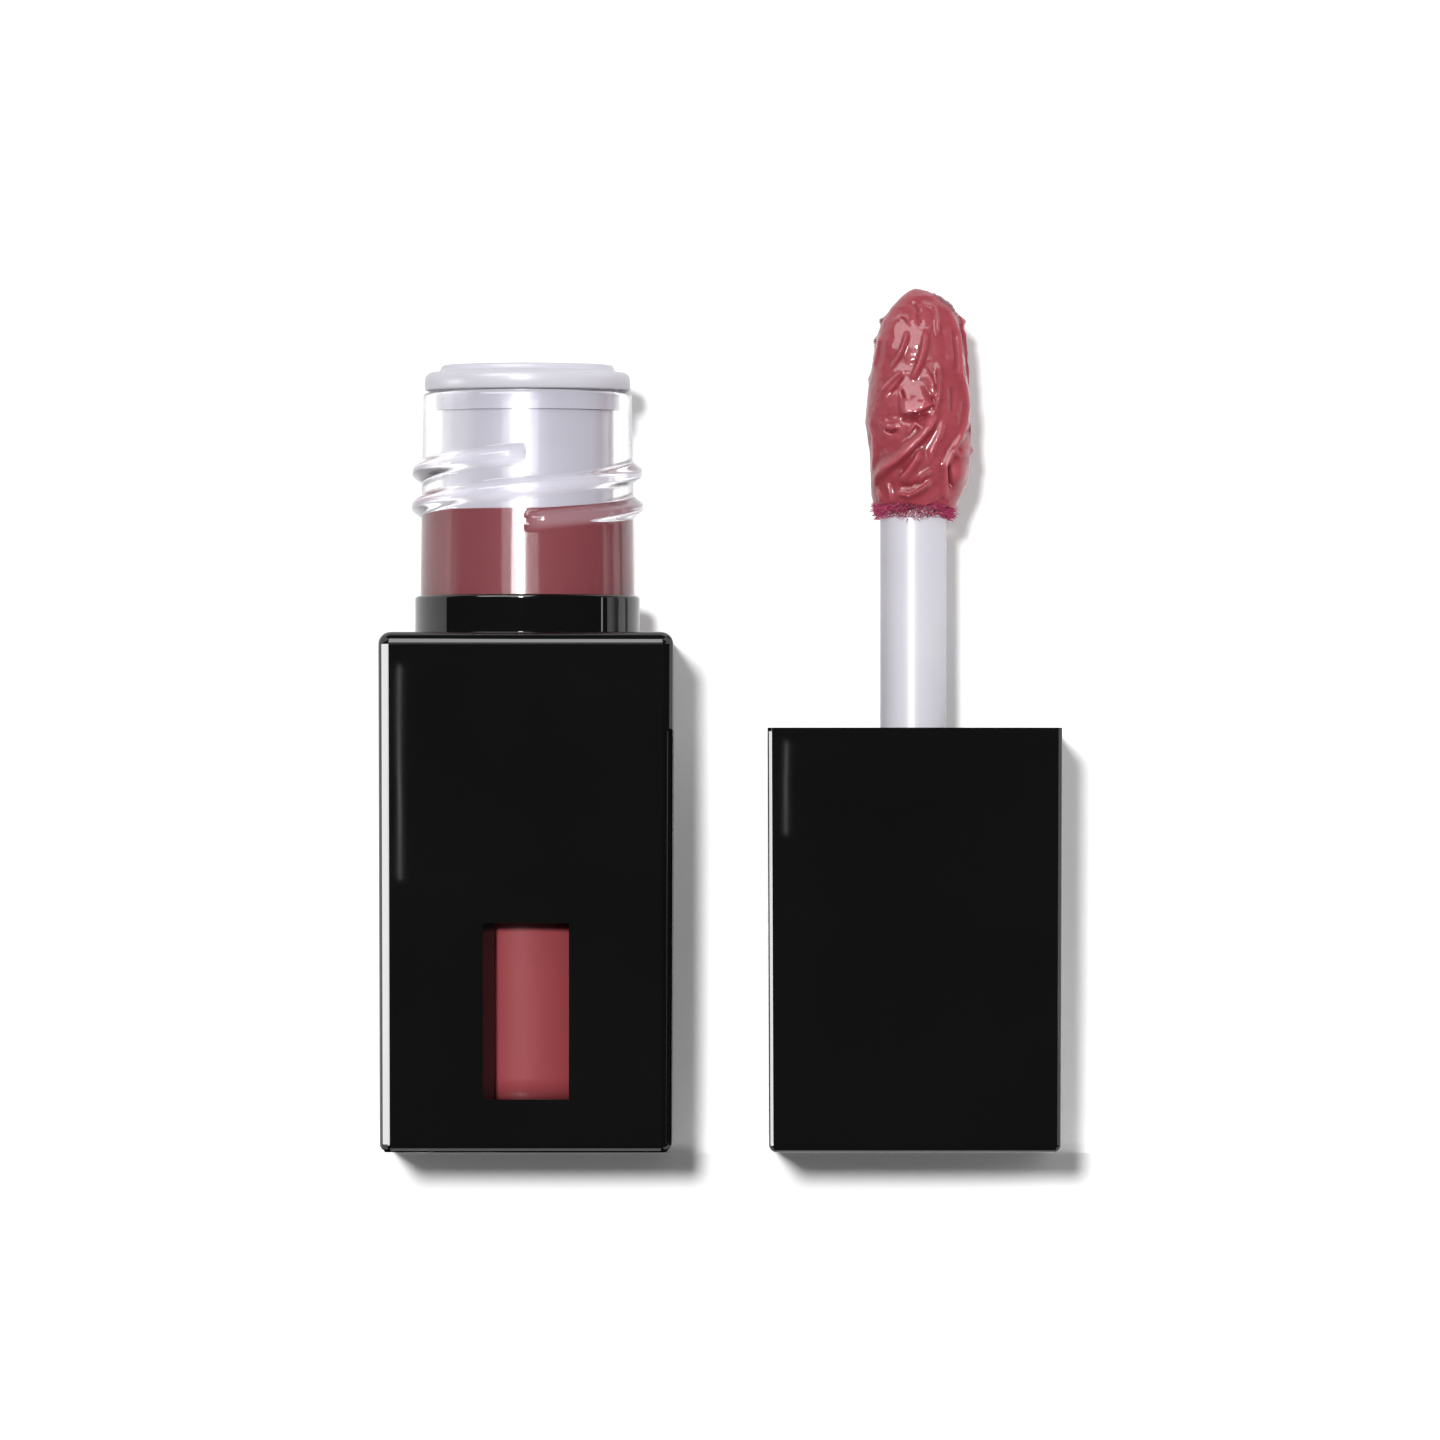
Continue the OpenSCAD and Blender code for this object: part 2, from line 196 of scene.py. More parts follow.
def pick(piece, kind, test):
    """Selects the verts, edges or faces that pass a test, and no others."""
    bpy.ops.mesh.select_all(action="DESELECT")
    mesh = bmesh.from_edit_mesh(piece.data)
    for item in getattr(mesh, kind):
        if test(item):
            item.select_set(True)
    mesh.select_flush_mode()
    bmesh.update_edit_mesh(piece.data)


def finish_with(piece, kind, **settings):
    """Adds a modifier and applies it."""
    take(piece)
    made = piece.modifiers.new(kind.lower(), kind)
    for name, value in settings.items():
        setattr(made, name, value)
    bpy.ops.object.modifier_apply(modifier=made.name)


def smooth(piece, angle=35, weighted=True):
    """Smooth shading, with flat faces kept flat up to their edges."""
    take(piece)
    bpy.ops.object.shade_smooth_by_angle(angle=math.radians(angle))
    if weighted:
        finish_with(piece, "WEIGHTED_NORMAL", keep_sharp=True, weight=50)


def told(piece):
    print(f"{piece.name}: {len(piece.data.polygons)} faces")


deselect()

# %% [markdown]
# ## The two square sleeves
# Bottle and cap are boxes of black moulded plastic, open at one end. A box can be hollowed by a
# Boolean, but an inset and an extrusion of the open end give cleaner walls. The bottle's edges
# catch a broad white strip of light, as a flat chamfer does, and the cap's only a thin line. So
# the upright edges are bevelled flat first. Where the chamfer meets a side it is rounded, where it
# meets the front it stays crisp, and at the end a tiny bevel softens what is still sharp.

# %% A sleeve from a cube
NEAR = 1e-6
INNER_CORNER = 0.6
ROUNDED_SHARE = 0.45


def sleeve(name, x, foot, top, height, wall, end, open_up, chamfer, low_edge, high_edge=None):
    """A hollow box, open above or below. Sizes in mm. An end's edge is (width, steps)."""
    bpy.ops.mesh.primitive_cube_add(size=1, location=(x * MM, 0, height / 2 * MM),
                                    scale=(top * MM, top * MM, height * MM))
    piece = named(name)
    editing(piece, "VERT")
    pick(piece, "verts", lambda v: v.co.z < height / 2 * MM)
    bpy.ops.transform.resize(value=(foot / top, foot / top, 1))
    bpy.ops.mesh.select_mode(type="FACE")
    mouth = height * MM if open_up else 0
    pick(piece, "faces", lambda f: abs(f.calc_center_median().z - mouth) < NEAR)
    bpy.ops.mesh.inset(thickness=wall * MM, depth=0)
    deep = (end - height if open_up else height - end) * MM
    bpy.ops.mesh.extrude_region_move(TRANSFORM_OT_translate={"value": (0, 0, deep)})
    bpy.ops.mesh.select_mode(type="EDGE")
    outer = (min(foot, top) / 2 - wall / 2) * MM

    def outside(vert):
        return max(abs(vert.co.x - x * MM), abs(vert.co.y)) > outer

    def upright(e):
        a, b = e.verts
        return abs(a.co.z - b.co.z) > height / 2 * MM

    def bevel(width, steps, test):
        pick(piece, "edges", test)
        bpy.ops.mesh.bevel(offset=width * MM, segments=steps, affect="EDGES")

    side = min(foot, top) / 2 - 0.05
    bevel(chamfer, 1, lambda e: upright(e) and outside(e.verts[0]))
    bevel(INNER_CORNER, 4, lambda e: upright(e) and not outside(e.verts[0]))
    bevel(chamfer * ROUNDED_SHARE, 5,
          lambda e: upright(e) and abs(e.verts[0].co.x - x * MM) > side * MM)
    for level, edge in ((0, low_edge), (height, high_edge)):
        if edge:
            bevel(*edge, lambda e: all(outside(v) and abs(v.co.z - level * MM) < NEAR
                                       for v in e.verts) and len(e.link_faces) == 2
                  and any(abs(f.normal.z) < 0.5 for f in e.link_faces))
    bpy.ops.object.mode_set(mode="OBJECT")
    return piece


BODY_TOP, BODY_FOOT, SHELL_H = 18.45, 18.25, 32.5
CAP_X, CAP_RIM, CAP_END, CAP_H = 24.3, 18.4, 18.2, 26.5
bottle_sleeve = sleeve("bottle_sleeve", 0, BODY_FOOT, BODY_TOP, SHELL_H, wall=1.3, end=1.6,
                       open_up=False, chamfer=0.66, low_edge=(0.5, 5), high_edge=(0.78, 8))
cap_sleeve = sleeve("cap_sleeve", CAP_X, CAP_END, CAP_RIM, CAP_H, wall=1.2, end=1.3,
                    open_up=True, chamfer=0.26, low_edge=(0.45, 6))
told(bottle_sleeve)
told(cap_sleeve)

# %% [markdown]
# The window and the hole for the neck are cut with two cutters that are thrown away afterwards.
# The window is an open cut in the front wall: the vial shows behind it, in the shade of the wall.
# Its left wall slants inwards, and mirrors the lip colour as a dark wine-red strip.

# %% The window and the neck's hole
COLLAR_R, FIT = 7.08, 0.04
WINDOW_W, WINDOW_H, WINDOW_Z = 5.4, 11, 8.8
CUTTER_Y, CUTTER_DEEP = -8, 6


def cut(piece, cutter):
    finish_with(piece, "BOOLEAN", operation="DIFFERENCE", solver="EXACT", object=cutter)
    bpy.data.objects.remove(cutter)


bpy.ops.mesh.primitive_cube_add(size=1, location=(0, CUTTER_Y * MM, WINDOW_Z * MM),
                                scale=(WINDOW_W * MM, CUTTER_DEEP * MM, WINDOW_H * MM))
cutter = named("window_cutter")
for near_front, slant in ((True, -0.95), (False, 2.2)):
    editing(cutter, "VERT")
    pick(cutter, "verts", lambda v: v.co.x < 0 and (v.co.y < CUTTER_Y * MM) == near_front)
    bpy.ops.transform.translate(value=(slant * MM, 0, 0))
    bpy.ops.object.mode_set(mode="OBJECT")
cut(bottle_sleeve, cutter)
bpy.ops.mesh.primitive_cylinder_add(vertices=160, radius=(COLLAR_R + FIT) * MM, depth=6 * MM,
                                    location=(0, 0, SHELL_H * MM))
cut(bottle_sleeve, named("neck_cutter"))
for piece, soft in ((bottle_sleeve, 0.07), (cap_sleeve, 0.05)):
    finish_with(piece, "BEVEL", width=soft * MM, segments=3, limit_method="ANGLE",
                angle_limit=math.radians(38), harden_normals=False)
    smooth(piece)
    told(piece)

# %% [markdown]
# ## Turned pieces
# Collar, vial, wiper, lip colour and stem are round. Each is one outline spun about its axis, as
# on a lathe. The outline starts from a plane that is merged to one point, which is then extruded
# from corner to corner.

# %% A turned piece from an outline
def turned(name, outline, steps=128, x=0.0):
    """Spins an outline of (radius, height) in mm. The outline closes on itself or on the axis."""
    first = outline[0]
    bpy.ops.mesh.primitive_plane_add(size=MM, location=((x + first[0]) * MM, 0, first[1] * MM))
    piece = named(name)
    editing(piece, "VERT")
    bpy.ops.mesh.select_all(action="SELECT")
    bpy.ops.mesh.merge(type="CENTER")
    for here, there in zip(outline, outline[1:]):
        step = ((there[0] - here[0]) * MM, 0, (there[1] - here[1]) * MM)
        bpy.ops.mesh.extrude_vertices_move(TRANSFORM_OT_translate={"value": step})
    bpy.ops.mesh.select_all(action="SELECT")
    bpy.ops.mesh.spin(steps=steps, angle=2 * math.pi, center=(x * MM, 0, 0), axis=(0, 0, 1))
    bpy.ops.mesh.select_all(action="SELECT")
    bpy.ops.mesh.remove_doubles(threshold=2e-6)
    bpy.ops.mesh.normals_make_consistent(inside=False)
    bpy.ops.object.mode_set(mode="OBJECT")
    return piece


def arc(r, z, radius, start, end, count=6):
    """Points on a rounded corner: its centre, its radius, and its first and last angle."""
    turns = [math.radians(start + (end - start) * i / count) for i in range(count + 1)]
    return [(r + radius * math.cos(t), z + radius * math.sin(t)) for t in turns]


def between(low, high, count):
    """Heights between two, without the first."""
    return [low + (high - low) * i / count for i in range(1, count + 1)]


UNDER = SHELL_H - 1.6
NECK_R = 6.67
HIDDEN_R, HIDDEN_FOOT = COLLAR_R + 0.7, UNDER - 0.8
collar = turned("collar_ring", [
    (NECK_R + FIT, HIDDEN_FOOT), (HIDDEN_R, HIDDEN_FOOT), (HIDDEN_R, UNDER - FIT),
    (COLLAR_R, UNDER - FIT), (COLLAR_R, 32.6), *arc(COLLAR_R - 0.2, 34.7, 0.2, 0, 90, 8),
    (NECK_R + 0.1, 34.9), (NECK_R + FIT, 34.84), (NECK_R + FIT, HIDDEN_FOOT)], steps=160)
smooth(collar)
told(collar)

# %% [markdown]
# ## The clear vial
# The neck is thick clear plastic with a two-start thread. A thread can be swept and joined on, but
# clear plastic shows every seam inside it. So the neck is turned with many fine rings, and the
# rings are pushed out where the ridges climb. Each ridge swells softly out of the wall, and fades
# at both ends, as a moulded one does. The neck narrows a little upwards, so that it leaves its
# mould.

# %% Vial
RIM_Z, BORE_R, FLOOR_Z, SEAT_R = 47.7, 5.47, 3.2, 5.82
THREAD_Z, LEAD, RIDGE_OUT = 39.45, 4.3, 0.62
THREAD_LOW, THREAD_HIGH = 38.2, 45.2
RIDGE_HALF, RIDGE_FLAT, RUN_OUT = 0.66, 0.16, 9
NECK_WIDE, NECK_NARROW = 6.74, 6.58
neck_rings = [(NECK_WIDE + (NECK_NARROW - NECK_WIDE) * (z - 35) / (RIM_Z - 35), z)
              for z in [34.9, 35.0, *between(35.0, THREAD_LOW, 6),
                        *between(THREAD_LOW, THREAD_HIGH, 90),
                        *between(THREAD_HIGH, RIM_Z - 0.25, 5)]]
vial = turned("clear_vial", [
    (0, 1.8), (4.07, 1.8), (4.87, 1.4), (NECK_R - 0.4, 1.4),
    *arc(NECK_R - 0.4, 1.8, 0.4, -70, 0, 4), (NECK_R, 34.86), *neck_rings,
    *arc(NECK_NARROW - 0.25, RIM_Z - 0.25, 0.25, 20, 90, 4), (SEAT_R, RIM_Z),
    (SEAT_R, RIM_Z - 1.2), (BORE_R, RIM_Z - 1.2),
    *[(BORE_R, z) for z in (40, 34, 28, 22, 16, 10)],
    *arc(BORE_R - 1.5, FLOOR_Z + 1.5, 1.5, 0, -90, 8), (0, FLOOR_Z)], steps=216)


def ridge_height(angle, z):
    """How far a ridge stands out of the neck at an angle about the axis and a height."""
    best = 0.0
    for start in (-90.0, 90.0):
        for lap in (-1, 0, 1):
            turn = (math.degrees(angle) - start) % 360 + 360 * lap
            if not 0 <= turn <= 360:
                continue
            off = abs(z - THREAD_Z - LEAD * turn / 360)
            run_out = min(1.0, min(turn, 360 - turn) / RUN_OUT)
            if off < RIDGE_HALF:
                swell = 1 - max(0.0, (off - RIDGE_FLAT) / (RIDGE_HALF - RIDGE_FLAT)) ** 1.6
                best = max(best, swell ** 1.3 * math.sqrt(run_out))
    return best * RIDGE_OUT


# The ridge height share is kept on the mesh, and the clear plastic's painted glow reads it.
ridge_glow_share = vial.data.attributes.new("ridge", "FLOAT", "POINT")
for v in vial.data.vertices:
    r = math.hypot(v.co.x, v.co.y)
    if r > 6.3 * MM and THREAD_LOW * MM < v.co.z < THREAD_HIGH * MM:
        push = ridge_height(math.atan2(v.co.y, v.co.x), v.co.z / MM) * MM
        ridge_glow_share.data[v.index].value = push / (RIDGE_OUT * MM)
        v.co.x *= (r + push) / r
        v.co.y *= (r + push) / r
smooth(vial, 50, weighted=False)
told(vial)

# %% [markdown]
# ## The lip colour in the vial
# It wets the wall, so it reaches a hair into the clear plastic: with air between them the wall
# would turn into a mirror at its sides. Its level climbs a little at the wall. The way of the
# wand stays open in the middle, as in CAD, and is wide enough here for the tip with its coat.

# %% Lip colour
LEVEL_Z, WAY_R = 40.2, 4.35
wet_r = BORE_R + 0.02
fill = turned("lip_colour_fill", [
    (0, FLOOR_Z - 0.02), (BORE_R - 1.5, FLOOR_Z - 0.02),
    *arc(wet_r - 1.5, FLOOR_Z + 1.48, 1.5, -75, 0, 6), *[(wet_r, z) for z in (10, 20, 30)],
    (wet_r, LEVEL_Z + 0.1), (wet_r - 0.15, LEVEL_Z + 0.03), (wet_r - 0.5, LEVEL_Z - 0.04),
    (WAY_R + 0.4, LEVEL_Z - 0.1), (WAY_R, LEVEL_Z - 0.16), (WAY_R, 4.2), (WAY_R - 0.4, 4.0),
    (0, 4.0)], steps=160)
smooth(fill, 40)
told(fill)

# %% [markdown]
# ## The wiper
# A milky plug in the neck: a domed flange over the rim with a raised middle, a thick sleeve that
# reaches down to the lip colour, and inside it a cone that leads to the hole which strips the
# wand. It is turned in one go. A hair of air under the flange gives the dark line there.

# %% Wiper
WIPER_TOP, ORIFICE_R, WIPER_FOOT = 49.45, 2.35, 40.25
SLEEVE_R = BORE_R - FIT
inner_r = SLEEVE_R - 0.7
cone_z = WIPER_FOOT + 1.2 + inner_r - ORIFICE_R
FLANGE_R, CROWN_R, SHOULDER_Z = 6.47, 5.45, WIPER_TOP - 0.45
UNDER_FLANGE = RIM_Z + 0.12
wiper = turned("milky_wiper", [
    (ORIFICE_R, WIPER_FOOT), (SLEEVE_R - 0.15, WIPER_FOOT),
    *arc(SLEEVE_R - 0.12, WIPER_FOOT + 0.12, 0.12, -80, 0, 4), (SLEEVE_R, RIM_Z - 1.16),
    (SEAT_R - FIT, RIM_Z - 1.16), (SEAT_R - FIT, UNDER_FLANGE), (FLANGE_R - 0.1, UNDER_FLANGE),
    (FLANGE_R, UNDER_FLANGE + 0.1), *arc(FLANGE_R - 0.5, SHOULDER_Z - 0.5, 0.5, 0, 90, 8),
    (CROWN_R + 0.16, SHOULDER_Z + 0.02), (CROWN_R + 0.07, SHOULDER_Z + 0.09),
    *arc(CROWN_R - 0.22, WIPER_TOP - 0.22, 0.22, 10, 90, 5), (inner_r + 0.35, WIPER_TOP),
    *arc(inner_r + 0.35, WIPER_TOP - 0.35, 0.35, 100, 180, 4), (inner_r, cone_z),
    (ORIFICE_R, WIPER_FOOT + 1.2), (ORIFICE_R, WIPER_FOOT)], steps=160)
smooth(wiper, 50)
told(wiper)

# %% [markdown]
# ## The wand's stem
# A satin white rod that comes up out of the cap. Its top end is rounded off under the flock.

# %% Stem
STEM_R, STEM_FOOT, STEM_TOP = 2.08, 2.82, 39.9
stem = turned("wand_rod", [
    (0, STEM_FOOT), (STEM_R - 0.2, STEM_FOOT), (STEM_R, STEM_FOOT + 0.2), (STEM_R, 4.1),
    (STEM_R + 0.45, 4.3), (STEM_R + 0.45, 4.8), (STEM_R, 5.0),
    *[(STEM_R, z) for z in (15, 25, 32)], *arc(STEM_R - 0.15, STEM_TOP - 0.15, 0.15, 0, 90, 4),
    (0, STEM_TOP)], steps=96, x=CAP_X)
smooth(stem)
told(stem)

# %% [markdown]
# ## The smeared tip
# The flocked tip is buried in a thick coat of lip colour, dragged into folds as it was drawn out
# of the bottle. No primitive comes near it, and cloth or fluid simulation would not give these
# folds. It starts as a finely divided sphere, is fitted to the outline of the tip, and is then
# worked like clay: each stroke is a line across the front with a height and two widths, one for
# each side of the line, so that a fold can be steep on one side.

# %% The tip's outline
# Height above the table, then the left and the right side, from the wand's axis, in mm.
TIP_SIDES = [(40.5, -2.45, 2.6), (41.2, -2.62, 3.0), (42.4, -2.66, 3.5), (44.1, -2.8, 3.66),
             (45.8, -3.02, 3.62), (48.0, -2.84, 3.54), (49.5, -2.6, 3.5), (51.0, -2.4, 3.35),
             (52.2, -1.98, 3.08), (53.1, -1.4, 2.5), (53.8, -0.72, 1.7), (54.14, -0.28, 0.9),
             (54.28, 0.05, 0.3)]
side_z, left_side, right_side = np.array(TIP_SIDES).T
TIP_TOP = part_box("gloss_bead")[1].z / MM - 0.02
COAT_FOOT = side_z[0]
side_z[-2:] += TIP_TOP - side_z[-1]
print("coat from", round(float(COAT_FOOT), 2), "to", round(TIP_TOP, 2), "mm")

# %% The tip before its folds
bpy.ops.mesh.primitive_uv_sphere_add(segments=280, ring_count=240, radius=1)
tip = named("lip_colour_coat")
CLOSING, FOOT_RISE = 0.07, 0.25
SQUARE, DEPTH, FULLNESS = 2.3, 0.9, 0.93


def coat_place(direction):
    """Where a direction from the sphere's centre ends up on the unfolded coat, in mm."""
    polar = math.acos(max(-1, min(1, direction.z))) / math.pi
    if polar > 1 - CLOSING:
        share = (1 - polar) / CLOSING
        z = COAT_FOOT + FOOT_RISE * share ** 3
        grown = math.sin(share * math.pi / 2)
    else:
        share = 1 - polar / (1 - CLOSING)
        full = math.sin(share * math.pi / 2) ** FULLNESS
        z = COAT_FOOT + FOOT_RISE + (TIP_TOP - COAT_FOOT - FOOT_RISE) * full
        grown = 1.0
    left, right = np.interp(z, side_z, left_side), np.interp(z, side_z, right_side)
    centre, half = (left + right) / 2, (right - left) / 2
    around = math.atan2(direction.y, direction.x)
    c, s = math.cos(around), math.sin(around)
    out = grown * half * (abs(c) ** SQUARE + abs(s) ** SQUARE) ** (-1 / SQUARE)
    return Vector((centre + out * c, DEPTH * out * s, z))


for v in tip.data.vertices:
    place = coat_place(v.co.copy())
    low = max(0, 1 - (place.z - COAT_FOOT) / 0.7)
    ragged = 0.6 * noise.noise(Vector((v.co.x, v.co.y, 0)) * 8) - 0.3 * max(0, -v.co.x - 0.85)
    v.co = place + Vector((0, 0, low * ragged))
told(tip)

# %% [markdown]
# The strokes were drawn over the front of the tip, from the largest fold to the smallest.
# The back of the tip is not in the picture, so it gets the same kind of folds in other places,
# drawn at random from a fixed seed.

# %% Folds
def stroke(line, rise, one_side=0.12, other_side=0.12):
    """A fold: its line as (across, up) in mm, its height, and its width left and right of it."""
    return np.array(line), rise, one_side, other_side


FOLDS = [stroke(*fold) for fold in (
    ([(1.4, 46.4), (1.05, 45.5), (0.4, 44.7), (-0.5, 43.8), (-1.0, 43.35), (-1.7, 42.9),
      (-2.3, 42.3), (-2.6, 41.6)], 0.34, 0.16, 0.42),
    ([(1.6, 49.5), (1.6, 48.6), (1.55, 47.6), (1.35, 46.4)], 0.24, 0.10, 0.16),
    ([(2.05, 53.4), (2.5, 52.4), (2.85, 51.3), (2.95, 50.1), (3.0, 48.9), (3.3, 47.9),
      (3.4, 46.8), (3.3, 45.7), (2.9, 44.7), (2.4, 43.8), (2.05, 43.0), (2.1, 42.0),
      (2.0, 40.9)], 0.26, 0.10, 0.22),
    ([(0.75, 51.5), (0.6, 50.5), (0.3, 49.4), (-0.1, 48.5)], 0.20, 0.20, 0.14),
    ([(-1.15, 52.2), (-0.8, 52.5), (-0.4, 52.4), (-0.3, 52.1)], 0.16),
    ([(-0.4, 51.5), (-0.5, 51.0), (-0.7, 50.4), (-1.0, 49.8), (-1.4, 49.2)], 0.22),
    ([(-2.0, 47.7), (-1.5, 48.25), (-0.75, 49.0)], 0.15, 0.10, 0.08),
    ([(-1.7, 47.4), (-1.1, 48.0), (-0.6, 48.7)], -0.12, 0.08, 0.08),
    ([(-0.9, 46.3), (0.2, 46.4), (1.3, 47.0)], 0.34, 0.95, 0.09),
    ([(-0.8, 45.9), (0.3, 46.0), (1.1, 46.3)], -0.14, 0.10, 0.16),
    ([(0.75, 49.1), (1.2, 48.3), (1.35, 47.1)], 0.12, 0.08, 0.40),
    ([(-0.75, 47.8), (-0.55, 47.2)], -0.16, 0.08, 0.08),
    ([(-1.9, 45.3), (-1.4, 45.15), (-1.0, 45.3)], -0.15, 0.07, 0.07),
    ([(-1.8, 45.5), (-1.4, 45.4), (-0.9, 45.55)], 0.10, 0.09, 0.09),
    ([(-0.4, 45.0), (0.1, 45.7), (0.5, 45.4)], 0.14),
    ([(0.4, 44.1), (0.1, 43.4), (-0.4, 42.7), (-1.0, 42.0)], 0.22, 0.26, 0.12),
    ([(1.2, 42.8), (0.6, 42.4), (0.3, 42.1)], 0.18, 0.09, 0.12),
    ([(-1.0, 41.3), (-0.3, 41.1), (0.4, 41.5), (1.2, 42.1)], 0.24),
    ([(-0.8, 41.8), (-0.2, 41.8), (0.4, 42.0)], -0.12),
    ([(2.2, 43.2), (2.3, 42.4), (2.4, 41.6)], -0.26),
    ([(-2.8, 45.9), (-2.5, 44.9), (-2.45, 43.8), (-2.6, 42.5)], 0.16),
    ([(-2.1, 51.3), (-2.3, 50.1), (-2.5, 49.2)], 0.14),
    ([(1.3, 53.2), (1.5, 52.2), (1.5, 51.2)], 0.12),
    ([(0.5, 53.4), (0.9, 53.25), (1.2, 53.1)], 0.10, 0.08, 0.08),
    ([(-0.2, 53.5), (0.25, 52.8), (0.4, 51.8)], -0.10, 0.16, 0.16),
    ([(-2.3, 41.8), (-2.1, 41.1), (-2.1, 40.4)], 0.12, 0.08, 0.08),
    ([(-1.7, 42.0), (-1.5, 41.4), (-1.4, 40.6)], 0.10),
    ([(2.3, 44.0), (2.9, 43.7), (3.5, 44.0)], 0.14, 0.20, 0.12),
    ([(1.9, 46.0), (1.6, 45.0), (1.1, 44.0), (1.0, 43.3)], 0.12, 0.22, 0.16),
    ([(2.3, 48.1), (2.4, 47.1), (2.4, 46.3)], -0.10, 0.20, 0.20),
    ([(2.1, 52.0), (2.2, 50.7), (2.3, 49.4)], 0.08, 0.22, 0.22),
)]
shuffle = random.Random(7)
BACK_FOLDS = []
for number in range(26):
    x, z = shuffle.uniform(-2.6, 3.0), shuffle.uniform(41.0, 51.5)
    lean, length = shuffle.uniform(-0.5, 1.1), shuffle.uniform(1.1, 3.8)
    line = [(x + length * t * math.sin(lean) + 0.15 * math.sin(5 * t + number),
             z + length * t * math.cos(lean)) for t in (0, 0.25, 0.5, 0.75, 1)]
    BACK_FOLDS.append(stroke(line, shuffle.choice((0.24, 0.2, 0.14, -0.14)),
                             shuffle.uniform(0.1, 0.3), shuffle.uniform(0.08, 0.14)))
print(len(FOLDS), "strokes in front,", len(BACK_FOLDS), "behind")

# %% What the folds add
RELIEF, FADE_RATE, FADE_END = 1.7, 5, 0.08


def fold_height(places, folds):
    """What all the folds add at each of many (across, up) places, in mm."""
    total = np.zeros(len(places))
    for line, rise, one_side, other_side in folds:
        nearest = np.full(len(places), 1e9)
        offset = np.zeros(len(places))
        fade = np.ones(len(places))
        lengths = np.hypot(*(line[1:] - line[:-1]).T)
        done = 0.0
        for start, end, length in zip(line, line[1:], lengths):
            along = (end - start) / length
            from_start = places - start
            t = np.clip(from_start @ along, 0, length)
            gap = np.linalg.norm(from_start - t[:, None] * along, axis=1)
            side = along[0] * from_start[:, 1] - along[1] * from_start[:, 0]
            near = gap < nearest
            nearest = np.where(near, gap, nearest)
            offset = np.where(near, gap / np.where(side > 0, one_side, other_side), offset)
            share = (done + t) / lengths.sum()
            faded = np.clip(np.minimum(share, 1 - share) * FADE_RATE + FADE_END, 0, 1)
            fade = np.where(near, faded, fade)
            done += length
        total += rise * fade * np.exp(-offset ** 2)
    return total


coat = np.array([v.co for v in tip.data.vertices])
facing = np.clip(0.5 - coat[:, 1] / 1.6, 0, 1)
swell = facing * fold_height(coat[:, [0, 2]], FOLDS)
swell += (1 - facing) * fold_height(coat[:, [0, 2]], BACK_FOLDS)
swell *= RELIEF
swell += [0.10 * noise.noise(0.9 * Vector(p)) + 0.035 * noise.noise(2.6 * Vector(p)) for p in coat]
swell *= np.clip((TIP_TOP - coat[:, 2]) / 1.2, 0, 1) * np.clip((coat[:, 2] - COAT_FOOT) / 0.8, 0, 1)
print("folds from", round(float(swell.min()), 2), "to", round(float(swell.max()), 2), "mm")

# %% [markdown]
# The strokes push the clay mostly towards the viewer. Pushed sideways too, the folds at the rim
# would widen the outline that was just fitted, so there they only reach a third as far. Right
# of the long fold the coat falls back to a flatter blade, and low on the right it swells again.
# Small peaks are pulled out of the rim, where it is torn.

# %% Work the clay
BLADE = np.array([(2.4, 53.4), (2.8, 52.2), (3.1, 50.1), (3.4, 47.9), (3.6, 46.6), (3.4, 45.5),
                  (2.9, 44.4)])
blade_x = np.interp(-coat[:, 2], -BLADE[:, 1], BLADE[:, 0])
in_blade = np.clip(np.minimum(BLADE[0, 1] - coat[:, 2], coat[:, 2] - BLADE[-1, 1]) / 0.9, 0, 1)
fall = 0.9 * in_blade * np.clip((coat[:, 0] - blade_x) / 0.18, 0, 1)
centre = (np.interp(coat[:, 2], side_z, left_side) + np.interp(coat[:, 2], side_z, right_side)) / 2
outward = np.stack([coat[:, 0] - centre, coat[:, 1], np.zeros(len(coat))], axis=1)
outward /= np.maximum(np.linalg.norm(outward, axis=1), 1e-6)[:, None]
worked = coat + outward * swell[:, None] * np.array([0.35, 1.0, 0])
worked[:, 1] += fall * np.clip(-coat[:, 1], 0, 1)
LOBE, LOBE_R = (2.9, -1.6, 42.7), 1.1
# Each torn peak's place, its radius, and how far it is pulled to the right.
TORN_PEAKS = (((3.65, -0.4, 44.05), 0.42, 0.16), ((3.1, 0.5, 52.4), 0.75, 0.42),
              ((3.2, 0.3, 51.4), 0.6, 0.14), ((-1.95, 0.2, 52.35), 0.5, -0.24),
              ((-2.4, 0.1, 51.1), 0.4, -0.1), ((-2.75, 0.0, 48.6), 0.5, -0.1))


def closeness(place, radius):
    """1 at a place, and 0 from a radius on."""
    return np.clip(1 - np.linalg.norm(worked - place, axis=1) / radius, 0, 1)


worked[:, 1] -= 0.35 * (1 - (1 - closeness(LOBE, LOBE_R)) ** 2) ** 2
for place, radius, pull in TORN_PEAKS:
    worked[:, 0] += pull * closeness(place, radius) ** 1.3
for v, place in zip(tip.data.vertices, worked):
    v.co = (Vector(place) + Vector((CAP_X, 0, 0))) * MM
smooth(tip, 60, weighted=False)
told(tip)
